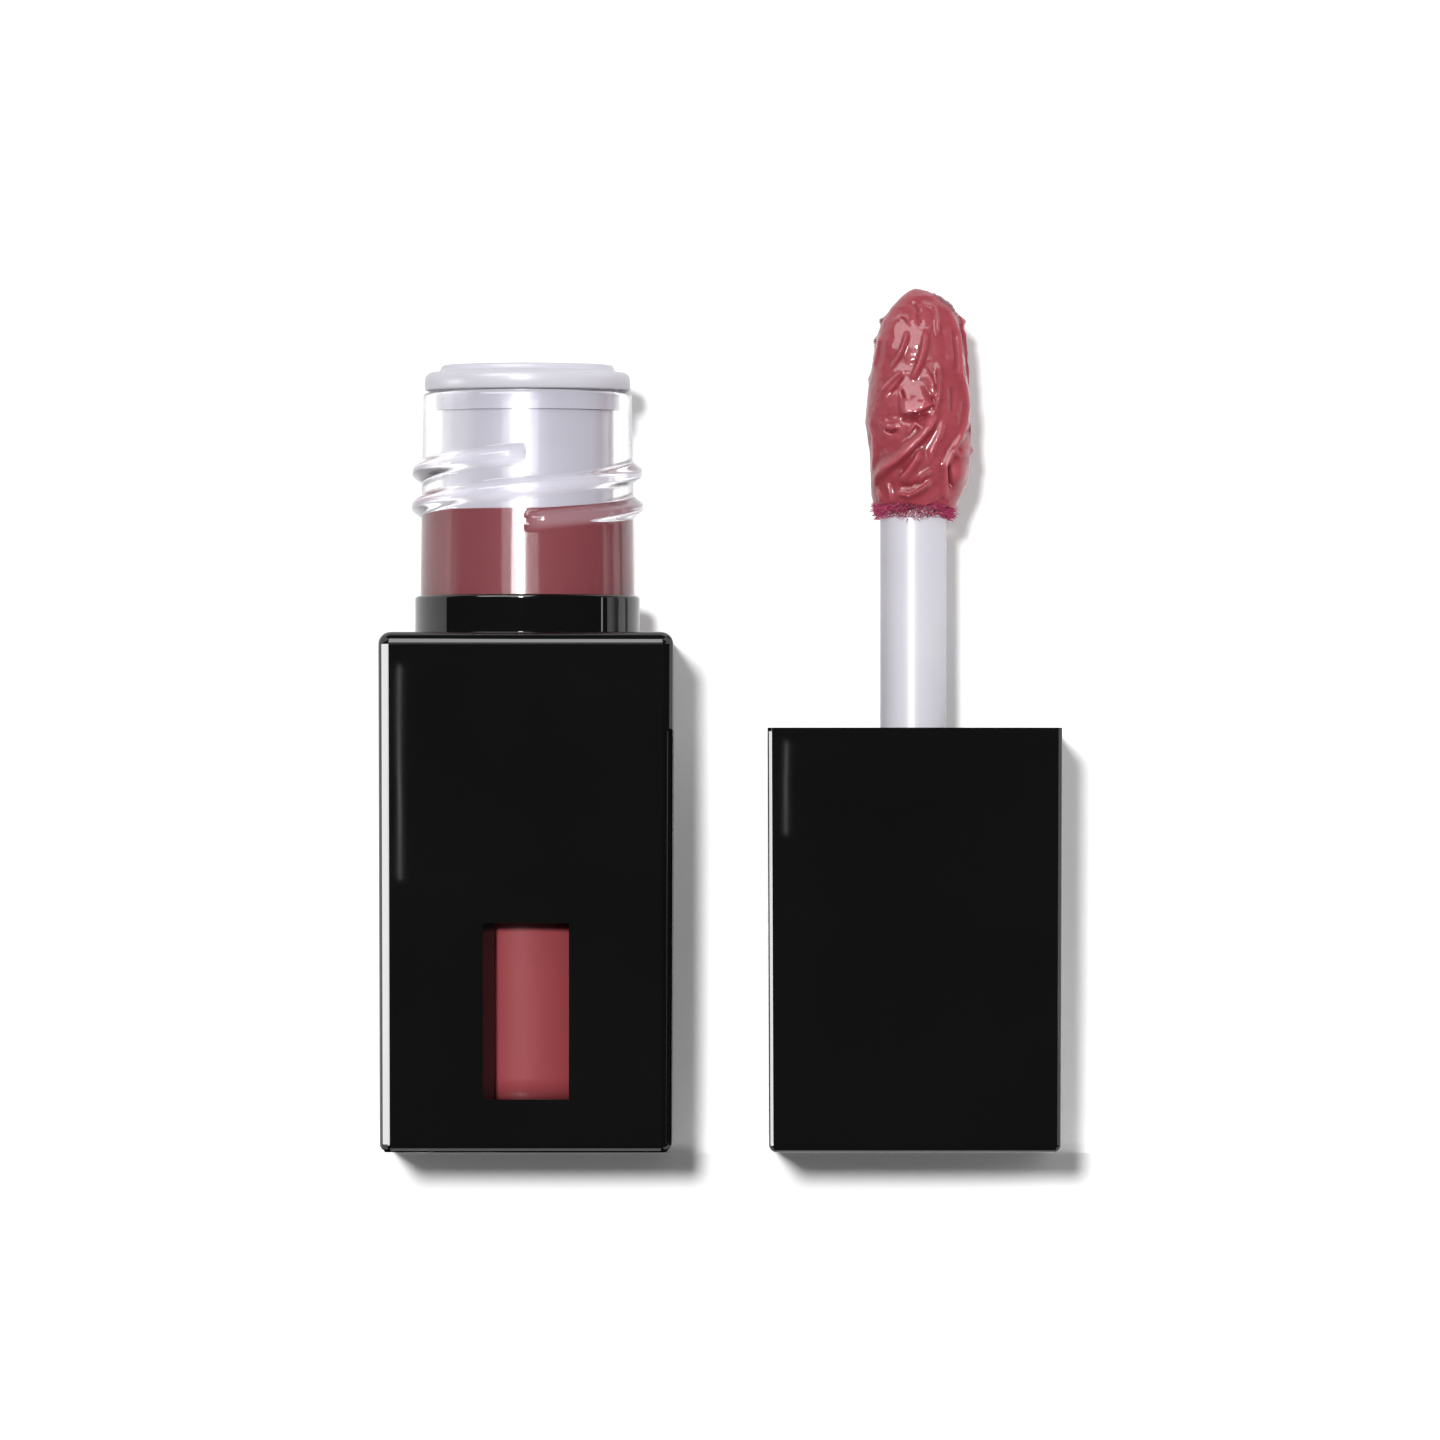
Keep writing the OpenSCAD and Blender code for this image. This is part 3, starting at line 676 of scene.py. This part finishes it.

# %% [markdown]
# The coat's colour is painted darker in its creases and paler on its ridges: painted shade and
# painted light. Each point is compared with the average of its surroundings, and how far it stands
# out is kept as an attribute of the mesh for the material to read.

# %% Creases and ridges
REACH_STEPS, CONTRAST = 16, 5.0
links = np.array([e.vertices for e in tip.data.edges])
around = worked.copy()
for _ in range(REACH_STEPS):
    total, count = np.zeros_like(around), np.zeros(len(around))
    for one, other in (links.T, links.T[::-1]):
        np.add.at(total, one, around[other])
        np.add.at(count, one, 1)
    around = total / count[:, None]
normals = np.array([v.normal for v in tip.data.vertices])
stands_out = ((worked - around) * normals).sum(axis=1)
# The material paints by this: darker creases and paler ridges, as painted shade and painted light.
raised = np.clip(0.5 + CONTRAST * (stands_out - np.median(stands_out)), 0, 1)
tip.data.attributes.new("raised", "FLOAT", "POINT").data.foreach_set("value", raised)
print("raised from", round(float(stands_out.min()), 3), "to", round(float(stands_out.max()), 3))
print("tip's box in mm:", worked.min(axis=0).round(2), worked.max(axis=0).round(2))

# %% [markdown]
# ## The flock
# Short nylon fibres cover the applicator under the colour. They show as a ragged magenta fringe
# where the coat ends, and as dull specks near the tip, where they stick out of it. Each fibre is
# a thin four-sided spike. One spike is modelled, and every other one is a copy of its few faces.

# %% Fibres
def fibres(name, roots, thick):
    """One mesh of spikes. Each root is a place, a direction and a length, all in metres."""
    bpy.ops.mesh.primitive_cone_add(vertices=4, radius1=0.5, radius2=0.12, depth=1,
                                    location=(0, 0, 0.5))
    spike = named("spike")
    gathered = bmesh.new()
    for place, aim, length in roots:
        turn = aim.to_track_quat("Z", "Y").to_matrix().to_4x4()
        one = spike.data.copy()
        one.transform(Matrix.Translation(place) @ turn @ Matrix.Diagonal((thick, thick, length, 1)))
        gathered.from_mesh(one)
        bpy.data.meshes.remove(one)
    piece = bpy.data.objects.new(name, bpy.data.meshes.new(name))
    gathered.to_mesh(piece.data)
    gathered.free()
    bpy.data.objects.remove(spike)
    bpy.context.scene.collection.objects.link(piece)
    told(piece)
    return piece


FRINGE_COUNT = 1500
fringe_roots = []
for _ in range(FRINGE_COUNT):
    around = shuffle.uniform(0, 2 * math.pi)
    out = Vector((math.cos(around), math.sin(around), 0))
    base = out * shuffle.uniform(2.0, 2.35)
    low = COAT_FOOT + shuffle.triangular(-0.8, 0.35, 0.1) + 0.12 * math.sin(around * 5)
    aim = out + Vector((0, 0, shuffle.uniform(-0.75, 0.5)))
    aim += out.orthogonal() * shuffle.uniform(-0.6, 0.6)
    reach = shuffle.uniform(0.18, 0.56) + (0.12 if out.x > 0.6 else 0)
    fringe_roots.append(((base + Vector((CAP_X, 0, low))) * MM, aim.normalized(), reach * MM))
fringe = fibres("flock_fringe", fringe_roots, 0.06 * MM)

# %% Specks near the tip
tip_tree = surface_of(tip)
speck_roots = []
for point, many, wide, high in (("fibres_right_of_tip", 280, 0.55, 0.7),
                                ("fibres_upper_left", 26, 0.12, 0.2),
                                ("fibres_middle_left", 22, 0.12, 0.22)):
    centre_of_specks = place_on(tip_tree, *POINTS[point])
    for _ in range(many):
        aside, up = shuffle.gauss(0, 0.5) * wide, shuffle.gauss(0, 0.5) * high
        guess = centre_of_specks + Vector((aside, 0, up - aside)) * MM
        place, normal, _, _ = tip_tree.find_nearest(guess)
        aim = (normal + Vector([shuffle.uniform(-0.7, 0.7) for _ in range(3)])).normalized()
        speck_roots.append((place - normal * 0.05 * MM, aim, shuffle.uniform(0.10, 0.26) * MM))
specks = fibres("flock_specks", speck_roots, 0.05 * MM)

# %% [markdown]
# ## Materials
# Each finish is a small node tree. Written out node by node it would be hard to read, so a class
# wraps a socket: arithmetic on it makes Math nodes, and `node` makes any other one. Numbers that
# are the same all over are set on the shader itself.

# %% A class for node trees
class Wire:
    """An output of a node. Arithmetic with it makes the nodes that do the arithmetic."""

    def __init__(self, tree, socket=None):
        self.tree, self.socket = tree, socket

    def node(self, kind, values=(), out=0, **settings):
        """A new node: settings first, then numbers and links for its sockets. Gives an output."""
        made = self.tree.nodes.new(kind)
        for name, value in settings.items():
            setattr(made, name, value)
        for name, value in dict(values).items():
            if isinstance(value, Wire):
                self.tree.links.new(value.socket, made.inputs[name])
            else:
                made.inputs[name].default_value = value
        return Wire(self.tree, made.outputs[out]) if made.outputs else None

    def maths(self, operation, one, other):
        return self.node("ShaderNodeMath", {0: one, 1: other}, operation=operation)

    def __add__(self, other):
        return self.maths("ADD", self, other)

    def __sub__(self, other):
        return self.maths("SUBTRACT", self, other)

    def __rsub__(self, other):
        return self.maths("SUBTRACT", other, self)

    def __mul__(self, other):
        return self.maths("MULTIPLY", self, other)

    def __gt__(self, other):
        return self.maths("GREATER_THAN", self, other)

    def __lt__(self, other):
        return self.maths("LESS_THAN", self, other)

    __radd__, __rmul__ = __add__, __mul__


def shade(hex_colour):
    """A colour written as on screen, as the linear one that Blender computes with."""
    parts = [int(hex_colour[i:i + 2], 16) / 255 for i in (1, 3, 5)]
    return (*[p / 12.92 if p < 0.04045 else ((p + 0.055) / 1.055) ** 2.4 for p in parts], 1)


def begin(name):
    material = bpy.data.materials.new(name)
    material.use_nodes = True
    material.node_tree.nodes.clear()
    return material, Wire(material.node_tree)


def in_piece(kit):
    """The place in the piece's own frame, in metres."""
    return kit.node("ShaderNodeTexCoord", out="Object")


def height(kit):
    return kit.node("ShaderNodeSeparateXYZ", {0: in_piece(kit)}, out="Z")


def ray_is(kit, what):
    return kit.node("ShaderNodeLightPath", out=what)


def blotches(kit, size, detail=3):
    """Soft noise from 0 to 1 whose patches are about size mm wide."""
    return kit.node("ShaderNodeTexNoise", {"Vector": in_piece(kit), "Scale": 1 / (size * MM),
                                           "Detail": detail})


def mixed(kit, amount, low, high):
    """A colour between two, by an amount from 0 to 1."""
    return kit.node("ShaderNodeMix", {0: amount, 6: shade(low), 7: shade(high)}, out=2,
                    data_type="RGBA")


def bumped(kit, raised, depth):
    """A bump whose highest places stand depth mm proud."""
    return kit.node("ShaderNodeBump", {"Height": raised, "Distance": depth * MM, "Strength": 1.0})


def told_as(kit, name):
    """A number that the mesh carries at each of its points."""
    return kit.node("ShaderNodeAttribute", out="Fac", attribute_name=name)


def lacquer(name, values, make_values, tint=None):
    """A Principled shader with fixed values and some that vary. A tint lets light rays through."""
    material, kit = begin(name)
    seen = kit.node("ShaderNodeBsdfPrincipled", {**values, **make_values(kit)})
    if tint:
        open_way = kit.node("ShaderNodeBsdfTransparent", {"Color": shade(tint)})
        for what in ("Is Shadow Ray", "Is Diffuse Ray"):
            seen = kit.node("ShaderNodeMixShader", {0: ray_is(kit, what), 1: seen, 2: open_way})
    kit.node("ShaderNodeOutputMaterial", {"Surface": seen})
    return material


print("middle grey on screen is", round(shade("#808080")[0], 3), "in linear light")

# %% [markdown]
# **Black moulded plastic** of the two sleeves is mirror smooth. What tells it from black glass is
# a faint waviness where the plastic shrank in its mould, and a trace of haze from handling.

# %% Black plastics
gloss_black = lacquer(
    "gloss black plastic",
    {"IOR": 1.5},
    lambda kit: {
        "Base Color": mixed(kit, blotches(kit, 9), "#0C0C0D", "#121212"),
        "Roughness": blotches(kit, 5, 4) * 0.012 + 0.008,
        "Normal": bumped(kit, blotches(kit, 9, 1), 0.0008)})
satin_black = lacquer(
    "satin black plastic",
    {"IOR": 1.48},
    lambda kit: {
        "Base Color": mixed(kit, blotches(kit, 6), "#171718", "#232325"),
        "Roughness": blotches(kit, 2, 4) * 0.12 + 0.34,
        "Normal": bumped(kit, blotches(kit, 0.35, 3), 0.008)})
print(gloss_black.name, "and", satin_black.name)

# %% [markdown]
# ** Clear plastic** is a Principled shader with full transmission. Its lamp rays would be stopped
# at the wall and leave the colour inside in the dark, so for all rays that only carry light on to
# a surface it is simply transparent. The ridges get a painted glow: a faint emission that grows
# with their height, in place of the light that the thick plastic scatters there.

# %% Clear plastic
# Painted glow: the ridges emit a faint light that grows with their height.
clear_plastic = lacquer(
    "clear plastic",
    {"IOR": 1.49, "Transmission Weight": 1.0, "Emission Strength": 0.15},
    lambda kit: {
        "Emission Color": mixed(kit, told_as(kit, "ridge"), "#000000", "#F3EEFC"),
        "Base Color": mixed(kit, blotches(kit, 8), "#F8F7FA", "#FFFFFF"),
        "Roughness": blotches(kit, 3, 3) * 0.03 + 0.1,
        "Normal": bumped(kit, blotches(kit, 5, 1), 0.004)},
    "#F2F2F4")
print(clear_plastic.name)

# %% [markdown]
# ** Lip colour** is a thick cream. In the bottle only its colour counts, with a slight streakiness
# from filling, and it is darker in the neck than low in the bottle. On the tip it is wet: a clear
# coat over a satin body, with a little light under its skin. There its colour has painted shade in
# the creases and painted light over the high places, with fine grains in it.

# %% Lip colour
def toward_neck(kit):
    """0 low in the bottle and 1 in the neck, where the colour is darker."""
    return kit.node("ShaderNodeMapRange", {"Value": height(kit), "From Min": 18 * MM,
                                           "From Max": 32 * MM})


creamy = lacquer(
    "lip colour in the bottle",
    {"IOR": 1.45, "Specular IOR Level": 0.1},
    lambda kit: {
        # The colour is darker up in the neck than low in the bottle.
        "Base Color": mixed(kit, toward_neck(kit) * 0.85 + blotches(kit, 4, 4) * 0.15,
                            "#9F4549", "#824348"),
        "Roughness": blotches(kit, 1.5, 3) * 0.1 + 0.45,
        "Normal": bumped(kit, blotches(kit, 1.2, 3), 0.02)})
wet = lacquer(
    "wet lip colour",
    {"IOR": 1.45, "Specular IOR Level": 0.15, "Coat Roughness": 0.1, "Coat IOR": 1.5,
     "Subsurface Weight": 0.25,
     "Subsurface Radius": (1.0, 0.35, 0.3), "Subsurface Scale": 0.5 * MM},
    lambda kit: {
        # Painted shade in the creases and painted light on the ridges, from the raised attribute.
        "Base Color": mixed(kit, told_as(kit, "raised") * 0.75 + blotches(kit, 1.6, 5) * 0.25,
                            "#7E232D", "#B45560"),
        "Roughness": blotches(kit, 0.8, 4) * 0.14 + 0.38,
        "Coat Weight": blotches(kit, 2.2, 3) * 0.4 + 0.35,
        "Normal": bumped(kit, blotches(kit, 0.55, 4) + 0.35 * blotches(kit, 0.16, 2), 0.035)})
print(creamy.name, "and", wet.name)

# %% [markdown]
# **Milky plastic** of the wiper is pale and a little violet. **Stem and washer**: the stem is
# satin white plastic, with the fine lengthwise lines of extrusion, and the washer a pale foam with
# pores. **Flock** is matt magenta nylon with a soft sheen, a little uneven in colour.

# %% Pale plastics and flock
milky = lacquer(
    "milky plastic",
    {"IOR": 1.46},
    lambda kit: {
        "Base Color": mixed(kit, blotches(kit, 3), "#C5C3CC", "#D0CED7"),
        "Roughness": blotches(kit, 1.5, 3) * 0.08 + 0.3,
        "Normal": bumped(kit, blotches(kit, 0.8, 3), 0.012)})


def drawn_lines(kit):
    """Long, thin noise: the lines that drawing leaves along a rod."""
    thin = kit.node("ShaderNodeMapping", {"Vector": in_piece(kit),
                                          "Scale": (2.5 / MM, 2.5 / MM, 0.05 / MM)})
    return kit.node("ShaderNodeTexNoise", {"Vector": thin, "Scale": 1.0, "Detail": 2})


satin_white = lacquer(
    "satin white plastic",
    {"IOR": 1.46, "Subsurface Weight": 0.2, "Subsurface Radius": (0.9, 0.9, 1.0),
     "Subsurface Scale": 0.6 * MM},
    lambda kit: {
        "Base Color": mixed(kit, blotches(kit, 4), "#C8C6CF", "#D1CFD6"),
        "Roughness": blotches(kit, 1.5, 3) * 0.1 + 0.3,
        "Normal": bumped(kit, drawn_lines(kit), 0.008)})


def pores(kit):
    """Cells of a foam: 0 in the middle of a pore, 1 on its walls."""
    return kit.node("ShaderNodeTexVoronoi", {"Vector": in_piece(kit), "Scale": 1 / (0.3 * MM)})


foam = lacquer(
    "washer foam",
    {},
    lambda kit: {
        "Base Color": mixed(kit, pores(kit), "#EFEDF0", "#D9D6DC"),
        "Roughness": blotches(kit, 1) * 0.1 + 0.75,
        "Normal": bumped(kit, 1 - pores(kit), 0.05)})
flock = lacquer(
    "magenta flock",
    {"Specular IOR Level": 0.2, "Sheen Weight": 0.08, "Sheen Roughness": 0.5},
    lambda kit: {
        "Base Color": mixed(kit, blotches(kit, 0.22) * 2.2 - 0.6, "#7A0A34", "#E2608F"),
        "Roughness": blotches(kit, 0.6) * 0.15 + 0.7})
dull_flock = lacquer(
    "stained flock",
    {"Sheen Weight": 0.3, "Sheen Roughness": 0.5},
    lambda kit: {
        "Base Color": mixed(kit, blotches(kit, 0.2), "#6A4450", "#B9989E"),
        "Roughness": blotches(kit, 0.6) * 0.15 + 0.7})
print(len(bpy.data.materials), "materials")

# %% [markdown]
# ## What rides on what
# Each piece moves with one CAD body, and stands for the CAD nodes whose place it takes. The coat
# stands for the flocked applicator, which it hides, and for both soft CAD solids of the colour.

# %% Finishes, rides and slots
PIECES = (
    (bottle_sleeve, gloss_black, "bottle", ("outer_shell",), "gloss_shell"),
    (collar, gloss_black, "bottle", ("collar",), "gloss_shell"),
    (vial, clear_plastic, "bottle", ("vial",), "clear_vial"),
    (fill, creamy, "bottle", ("product_fill",), "lip_colour"),
    (wiper, milky, "bottle", ("wiper",), "wiper"),
    (cap_sleeve, gloss_black, "cap_screwing", ("cap_shell",), "gloss_shell"),
    (stem, satin_white, "cap_travelling", ("wand_stem",), "stem"),
    (tip, wet, "cap_screwing", ("gloss_coat", "gloss_bead", "applicator"),
     "lip_colour"),
    (fringe, flock, "cap_screwing", (), "flock"),
    (specks, dull_flock, "cap_screwing", (), "flock"),
)
for piece, finish, body, stands_for, slot in PIECES:
    piece.data.materials.clear()
    piece.data.materials.append(finish)
    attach(piece, body)
    if stands_for:
        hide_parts(*stands_for)
for node, finish in (("base_plug", satin_black), ("cap_liner", satin_black),
                     ("seal_washer", foam)):
    for number in range(len(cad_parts[node].material_slots)):
        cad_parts[node].material_slots[number].material = finish
print(len(PIECES), "new pieces ride on the frame")

# %% [markdown]
# ## The stage
# In the picture both pieces lie on a white table and are seen from above: their shadows fall on
# the plane that their backs touch. Here they stand, so that plane is an upright backdrop just
# behind them. It is seen from the front only, so it hides nothing in other views. A pale floor
# lies in front of it and carries the shadows of the other views.

# %% Backdrop and floor
BACK_Y = 9.4 * MM
FLOOR_EDGE_Y = -9.3 * MM
FLOOR_SLOPE = 0.0145


def seen_white(kit):
    """1 for rays from the eye, straight or through clear plastic, and 0 for all that give light."""
    through = ray_is(kit, "Is Transmission Ray") * (ray_is(kit, "Diffuse Depth") < 0.5)
    return kit.maths("MAXIMUM", ray_is(kit, "Is Camera Ray"), through)


def paper(name, glow, painted_shade_below=-1.0):
    """One-sided white paper that keeps its shadows and glows a little for the eye; below a height the
    glow drops to a fifth, a painted shade.
    """
    material, kit = begin(name)
    matt = kit.node("ShaderNodeBsdfDiffuse", {"Color": (0.95, 0.95, 0.95, 1)})
    light = kit.node("ShaderNodeEmission", {"Color": (1, 1, 1, 1), "Strength": glow})
    lifted = kit.node("ShaderNodeAddShader", {0: matt, 1: light})
    # Below the given height the glow falls to a fifth: a painted shade that deepens the shadow there.
    high = kit.node("ShaderNodeMapRange", {
        "Value": height(kit), "From Min": painted_shade_below - 0.5 * MM,
        "From Max": painted_shade_below + 0.5 * MM, "To Min": 0.2})
    seen = kit.node("ShaderNodeMixShader", {0: seen_white(kit) * high, 1: matt, 2: lifted})
    behind = kit.node("ShaderNodeNewGeometry", out="Backfacing")
    seen = kit.node("ShaderNodeMixShader", {
        0: behind, 1: seen, 2: kit.node("ShaderNodeBsdfTransparent")})
    kit.node("ShaderNodeOutputMaterial", {"Surface": seen})
    return material


bpy.ops.mesh.primitive_plane_add(size=1)
backdrop = named("backdrop")
backdrop.data.transform(Matrix.Translation((0.012, BACK_Y, 0.1)) @ Matrix.Rotation(
    math.pi / 2, 4, "X") @ Matrix.Diagonal((1.6, 1.2, 1, 1)))
# Under the pieces' feet the backdrop glows less: painted shade below them.
backdrop.data.materials.append(paper("backdrop paper", 0.16, painted_shade_below=0.0))
bpy.ops.mesh.primitive_plane_add(size=1)
floor = named("floor")
floor.data.transform(Matrix.Translation((0.012, FLOOR_EDGE_Y, 0)) @ Matrix.Rotation(
    -FLOOR_SLOPE, 4, "X") @ Matrix.Translation((0, 0.15, 0)) @ Matrix.Diagonal((1.6, 0.3, 1, 1)))
floor.data.materials.append(paper("floor paper", 0.13))
for piece in (backdrop, floor):
    piece.visible_shadow = False
    piece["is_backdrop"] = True
floor.visible_glossy = False
print("backdrop at", round(BACK_Y / MM, 1), "mm")

# %% [markdown]
# ## Light
# The world is white where it is seen and dim as a light. In mirrors it is dark in front, because
# black plastic shows what stands before it and in the picture that is a dark room, and pale
# behind. What is mirrored inside the clear plastic comes back bright, as from the white table.
# One lamp with a soft edge throws the short shadow to the right and below. The strips that show
# in the black plastic are lamps that only reflections see.

# %% World
world = bpy.data.worlds.new("studio")
bpy.context.scene.world = world
world.use_nodes = True
world.node_tree.nodes.clear()
world.cycles.sampling_method = "NONE"
kit = Wire(world.node_tree)
glossy = ray_is(kit, "Is Glossy Ray")
aim = kit.node("ShaderNodeTexCoord", out="Generated")
parts = {axis: kit.node("ShaderNodeSeparateXYZ", {0: aim}, out=axis) for axis in "XYZ"}
ABOVE, BELOW, ASIDE, BEHIND, IN_FRONT, INSIDE = 0.42, 0.06, 0.45, 0.55, 0.02, 0.8
ASIDE_FROM, BEHIND_FROM = 0.3, 0.04
room = (parts["Z"] > 0.0) * (ABOVE - BELOW) + BELOW + (parts["X"] > ASIDE_FROM) * ASIDE
mirrored = (parts["Y"] > BEHIND_FROM) * (BEHIND - IN_FRONT) + IN_FRONT
in_plastic = ray_is(kit, "Transmission Depth") > 0.5
mirrored = kit.maths("MAXIMUM", mirrored, in_plastic * INSIDE)
plain = room * (1 - glossy) + glossy * mirrored
strength = kit.maths("MAXIMUM", seen_white(kit), plain)
kit.node("ShaderNodeOutputWorld", {"Surface": kit.node("ShaderNodeBackground",
                                                      {"Strength": strength})})
print("world of", len(world.node_tree.nodes), "nodes")

# %% Lamps
SUN_AIM = Vector((0.105, 1.0, -0.108))


def lamp(name, kind, place, aim, **settings):
    data = bpy.data.lights.new(name, kind)
    made = bpy.data.objects.new(name, data)
    bpy.context.scene.collection.objects.link(made)
    made.location = place
    made.rotation_euler = Vector(aim).to_track_quat("-Z", "Y").to_euler()
    for setting, value in settings.items():
        setattr(data, setting, value)
    return made


def mirror_lamp(name, place, aim, wide, high, brightness):
    """An oblong lamp that only reflections see, at a brightness where 1 is white."""
    made = lamp(name, "AREA", place, aim, shape="RECTANGLE", size=wide, size_y=high,
                energy=brightness * wide * high * math.pi)
    made.visible_diffuse = made.visible_camera = made.visible_transmission = False


sun = lamp("main lamp", "SUN", (0, 0, 0), SUN_AIM, energy=2.9, angle=math.radians(4.6))
sun.visible_transmission = False
for row in (
        ("left strip", (-0.35, -0.01, -0.0125), (1, 0, 0), 0.1, 0.100, 14),
        ("top box", (-0.22, -0.40, 0.36), (0.1, 0.40, -0.33), 0.55, 0.36, 7),
        ("bottle streak", (-19.9 * MM, -0.6, 26.6 * MM), (0, 1, 0), 0.2 * MM, 23.0 * MM, 4),
        ("cap streak", (18.7 * MM, -0.6, 24.0 * MM), (0, 1, 0), 0.18 * MM, 9.3 * MM, 3.5),
        ("cap's edge line", (9.7 * MM, -9.0 * MM, 13.3 * MM), (1, 0, 0), 0.7 * MM, 26.0 * MM, 15),
        ("collar's line", (0.35, -0.044, 0.041), (-1, 0, 0), 0.012, 0.006, 4),
        ("neck streak", (-0.097, -0.6, 0.0695), (0.1, 1, 0), 0.15, 0.031, 26),
        ("neck streak's flanks", (-0.08, -0.61, 0.0695), (0.1, 1, 0), 0.44, 0.031, 4)):
    mirror_lamp(*row)
bpy.context.scene.view_settings.view_transform = "Standard"

# %% [markdown]
# ## Checks and the end
# The image points are compared with where their features show now. An edge is measured on the
# finished vertices that show in the picture.

# %% Image points against the model
LOOK, LOOK_STEPS = 20, 400


def corners(piece, low=-1, high=999):
    """The points where a piece's vertices show, between two heights in mm."""
    return [seen_at(v.co) for v in piece.data.vertices if low * MM <= v.co.z <= high * MM]


def outermost(side, piece, low, high):
    """The x of the leftmost or rightmost such point, for side min or max."""
    return side(p[0] for p in corners(piece, low, high))


def level_of(piece, x, y):
    """The lowest picture y within LOOK of y where, at x, the piece shows."""
    tree = surface_of(piece)
    for i in range(LOOK_STEPS + 1):
        tried = y - LOOK + 2 * LOOK * i / LOOK_STEPS
        if tree.ray_cast(*ray(x, tried))[0] is not None:
            return tried
    return None


def shows_at():
    """Where each named point's feature shows in the finished scene."""
    rim_y = min(p[1] for p in corners(cap_sleeve, 26.4, 26.6))
    window_rim = [seen_at(v.co) for v in bottle_sleeve.data.vertices
                  if v.co.y < -8 * MM and abs(v.co.x) < 3 * MM and 2.5 * MM < v.co.z < 15 * MM]
    shown = {
        "bottle_left_edge": (outermost(min, bottle_sleeve, 31, 32), None),
        "bottle_right_edge": (outermost(max, bottle_sleeve, 31, 32), None),
        "cap_right_edge": (outermost(max, cap_sleeve, 26, 27), None),
        "foot_of_bottle": (None, max(p[1] for p in corners(bottle_sleeve))),
        "top_of_tip": (None, min(p[1] for p in corners(tip))),
        "window": tuple((min(p[i] for p in window_rim) + max(p[i] for p in window_rim)) / 2
                        for i in (0, 1)),
        "neck_left_edge": (outermost(min, vial, 36.5, 38.0), None),
        "cap_rim_left_corner": (outermost(min, cap_sleeve, 26.4, 26.6), rim_y),
        "cap_rim_right_corner": (outermost(max, cap_sleeve, 26.4, 26.6), rim_y),
        "stem_left_edge": (outermost(min, stem, 24, 36), None),
        "stem_right_edge": (outermost(max, stem, 24, 36), None),
        "thread_left_bump": min(corners(vial, 42.3, 43.3)),
        "tip_right_nipple": max(corners(tip, 43.9, 44.3)),
        "top_of_shell": (None, level_of(bottle_sleeve, POINTS["bottle_left_edge"][0] + LOOK,
                                        POINTS["top_of_shell"][1]))}
    for name, piece in (("wiper_top", wiper), ("collar_top", collar)):
        shown[name] = (POINTS[name][0], level_of(piece, *POINTS[name]))
    for name in POINTS:
        if name.startswith("fibres"):
            shown[name] = seen_at(place_on(tip_tree, *POINTS[name]))
    return {name: shown[name] for name in POINTS}


for name, shown in shows_at().items():
    [None if here is None or there is None else round(here - there, 1)
                     for here, there in zip(shown, POINTS[name])]

# %% Size against CAD, and the end
low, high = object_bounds()
print("over the CAD box in mm:", [round((c - v) / MM, 3) for c, v in zip(cad_low, low)],
      [round((v - c) / MM, 3) for c, v in zip(cad_high, high)])
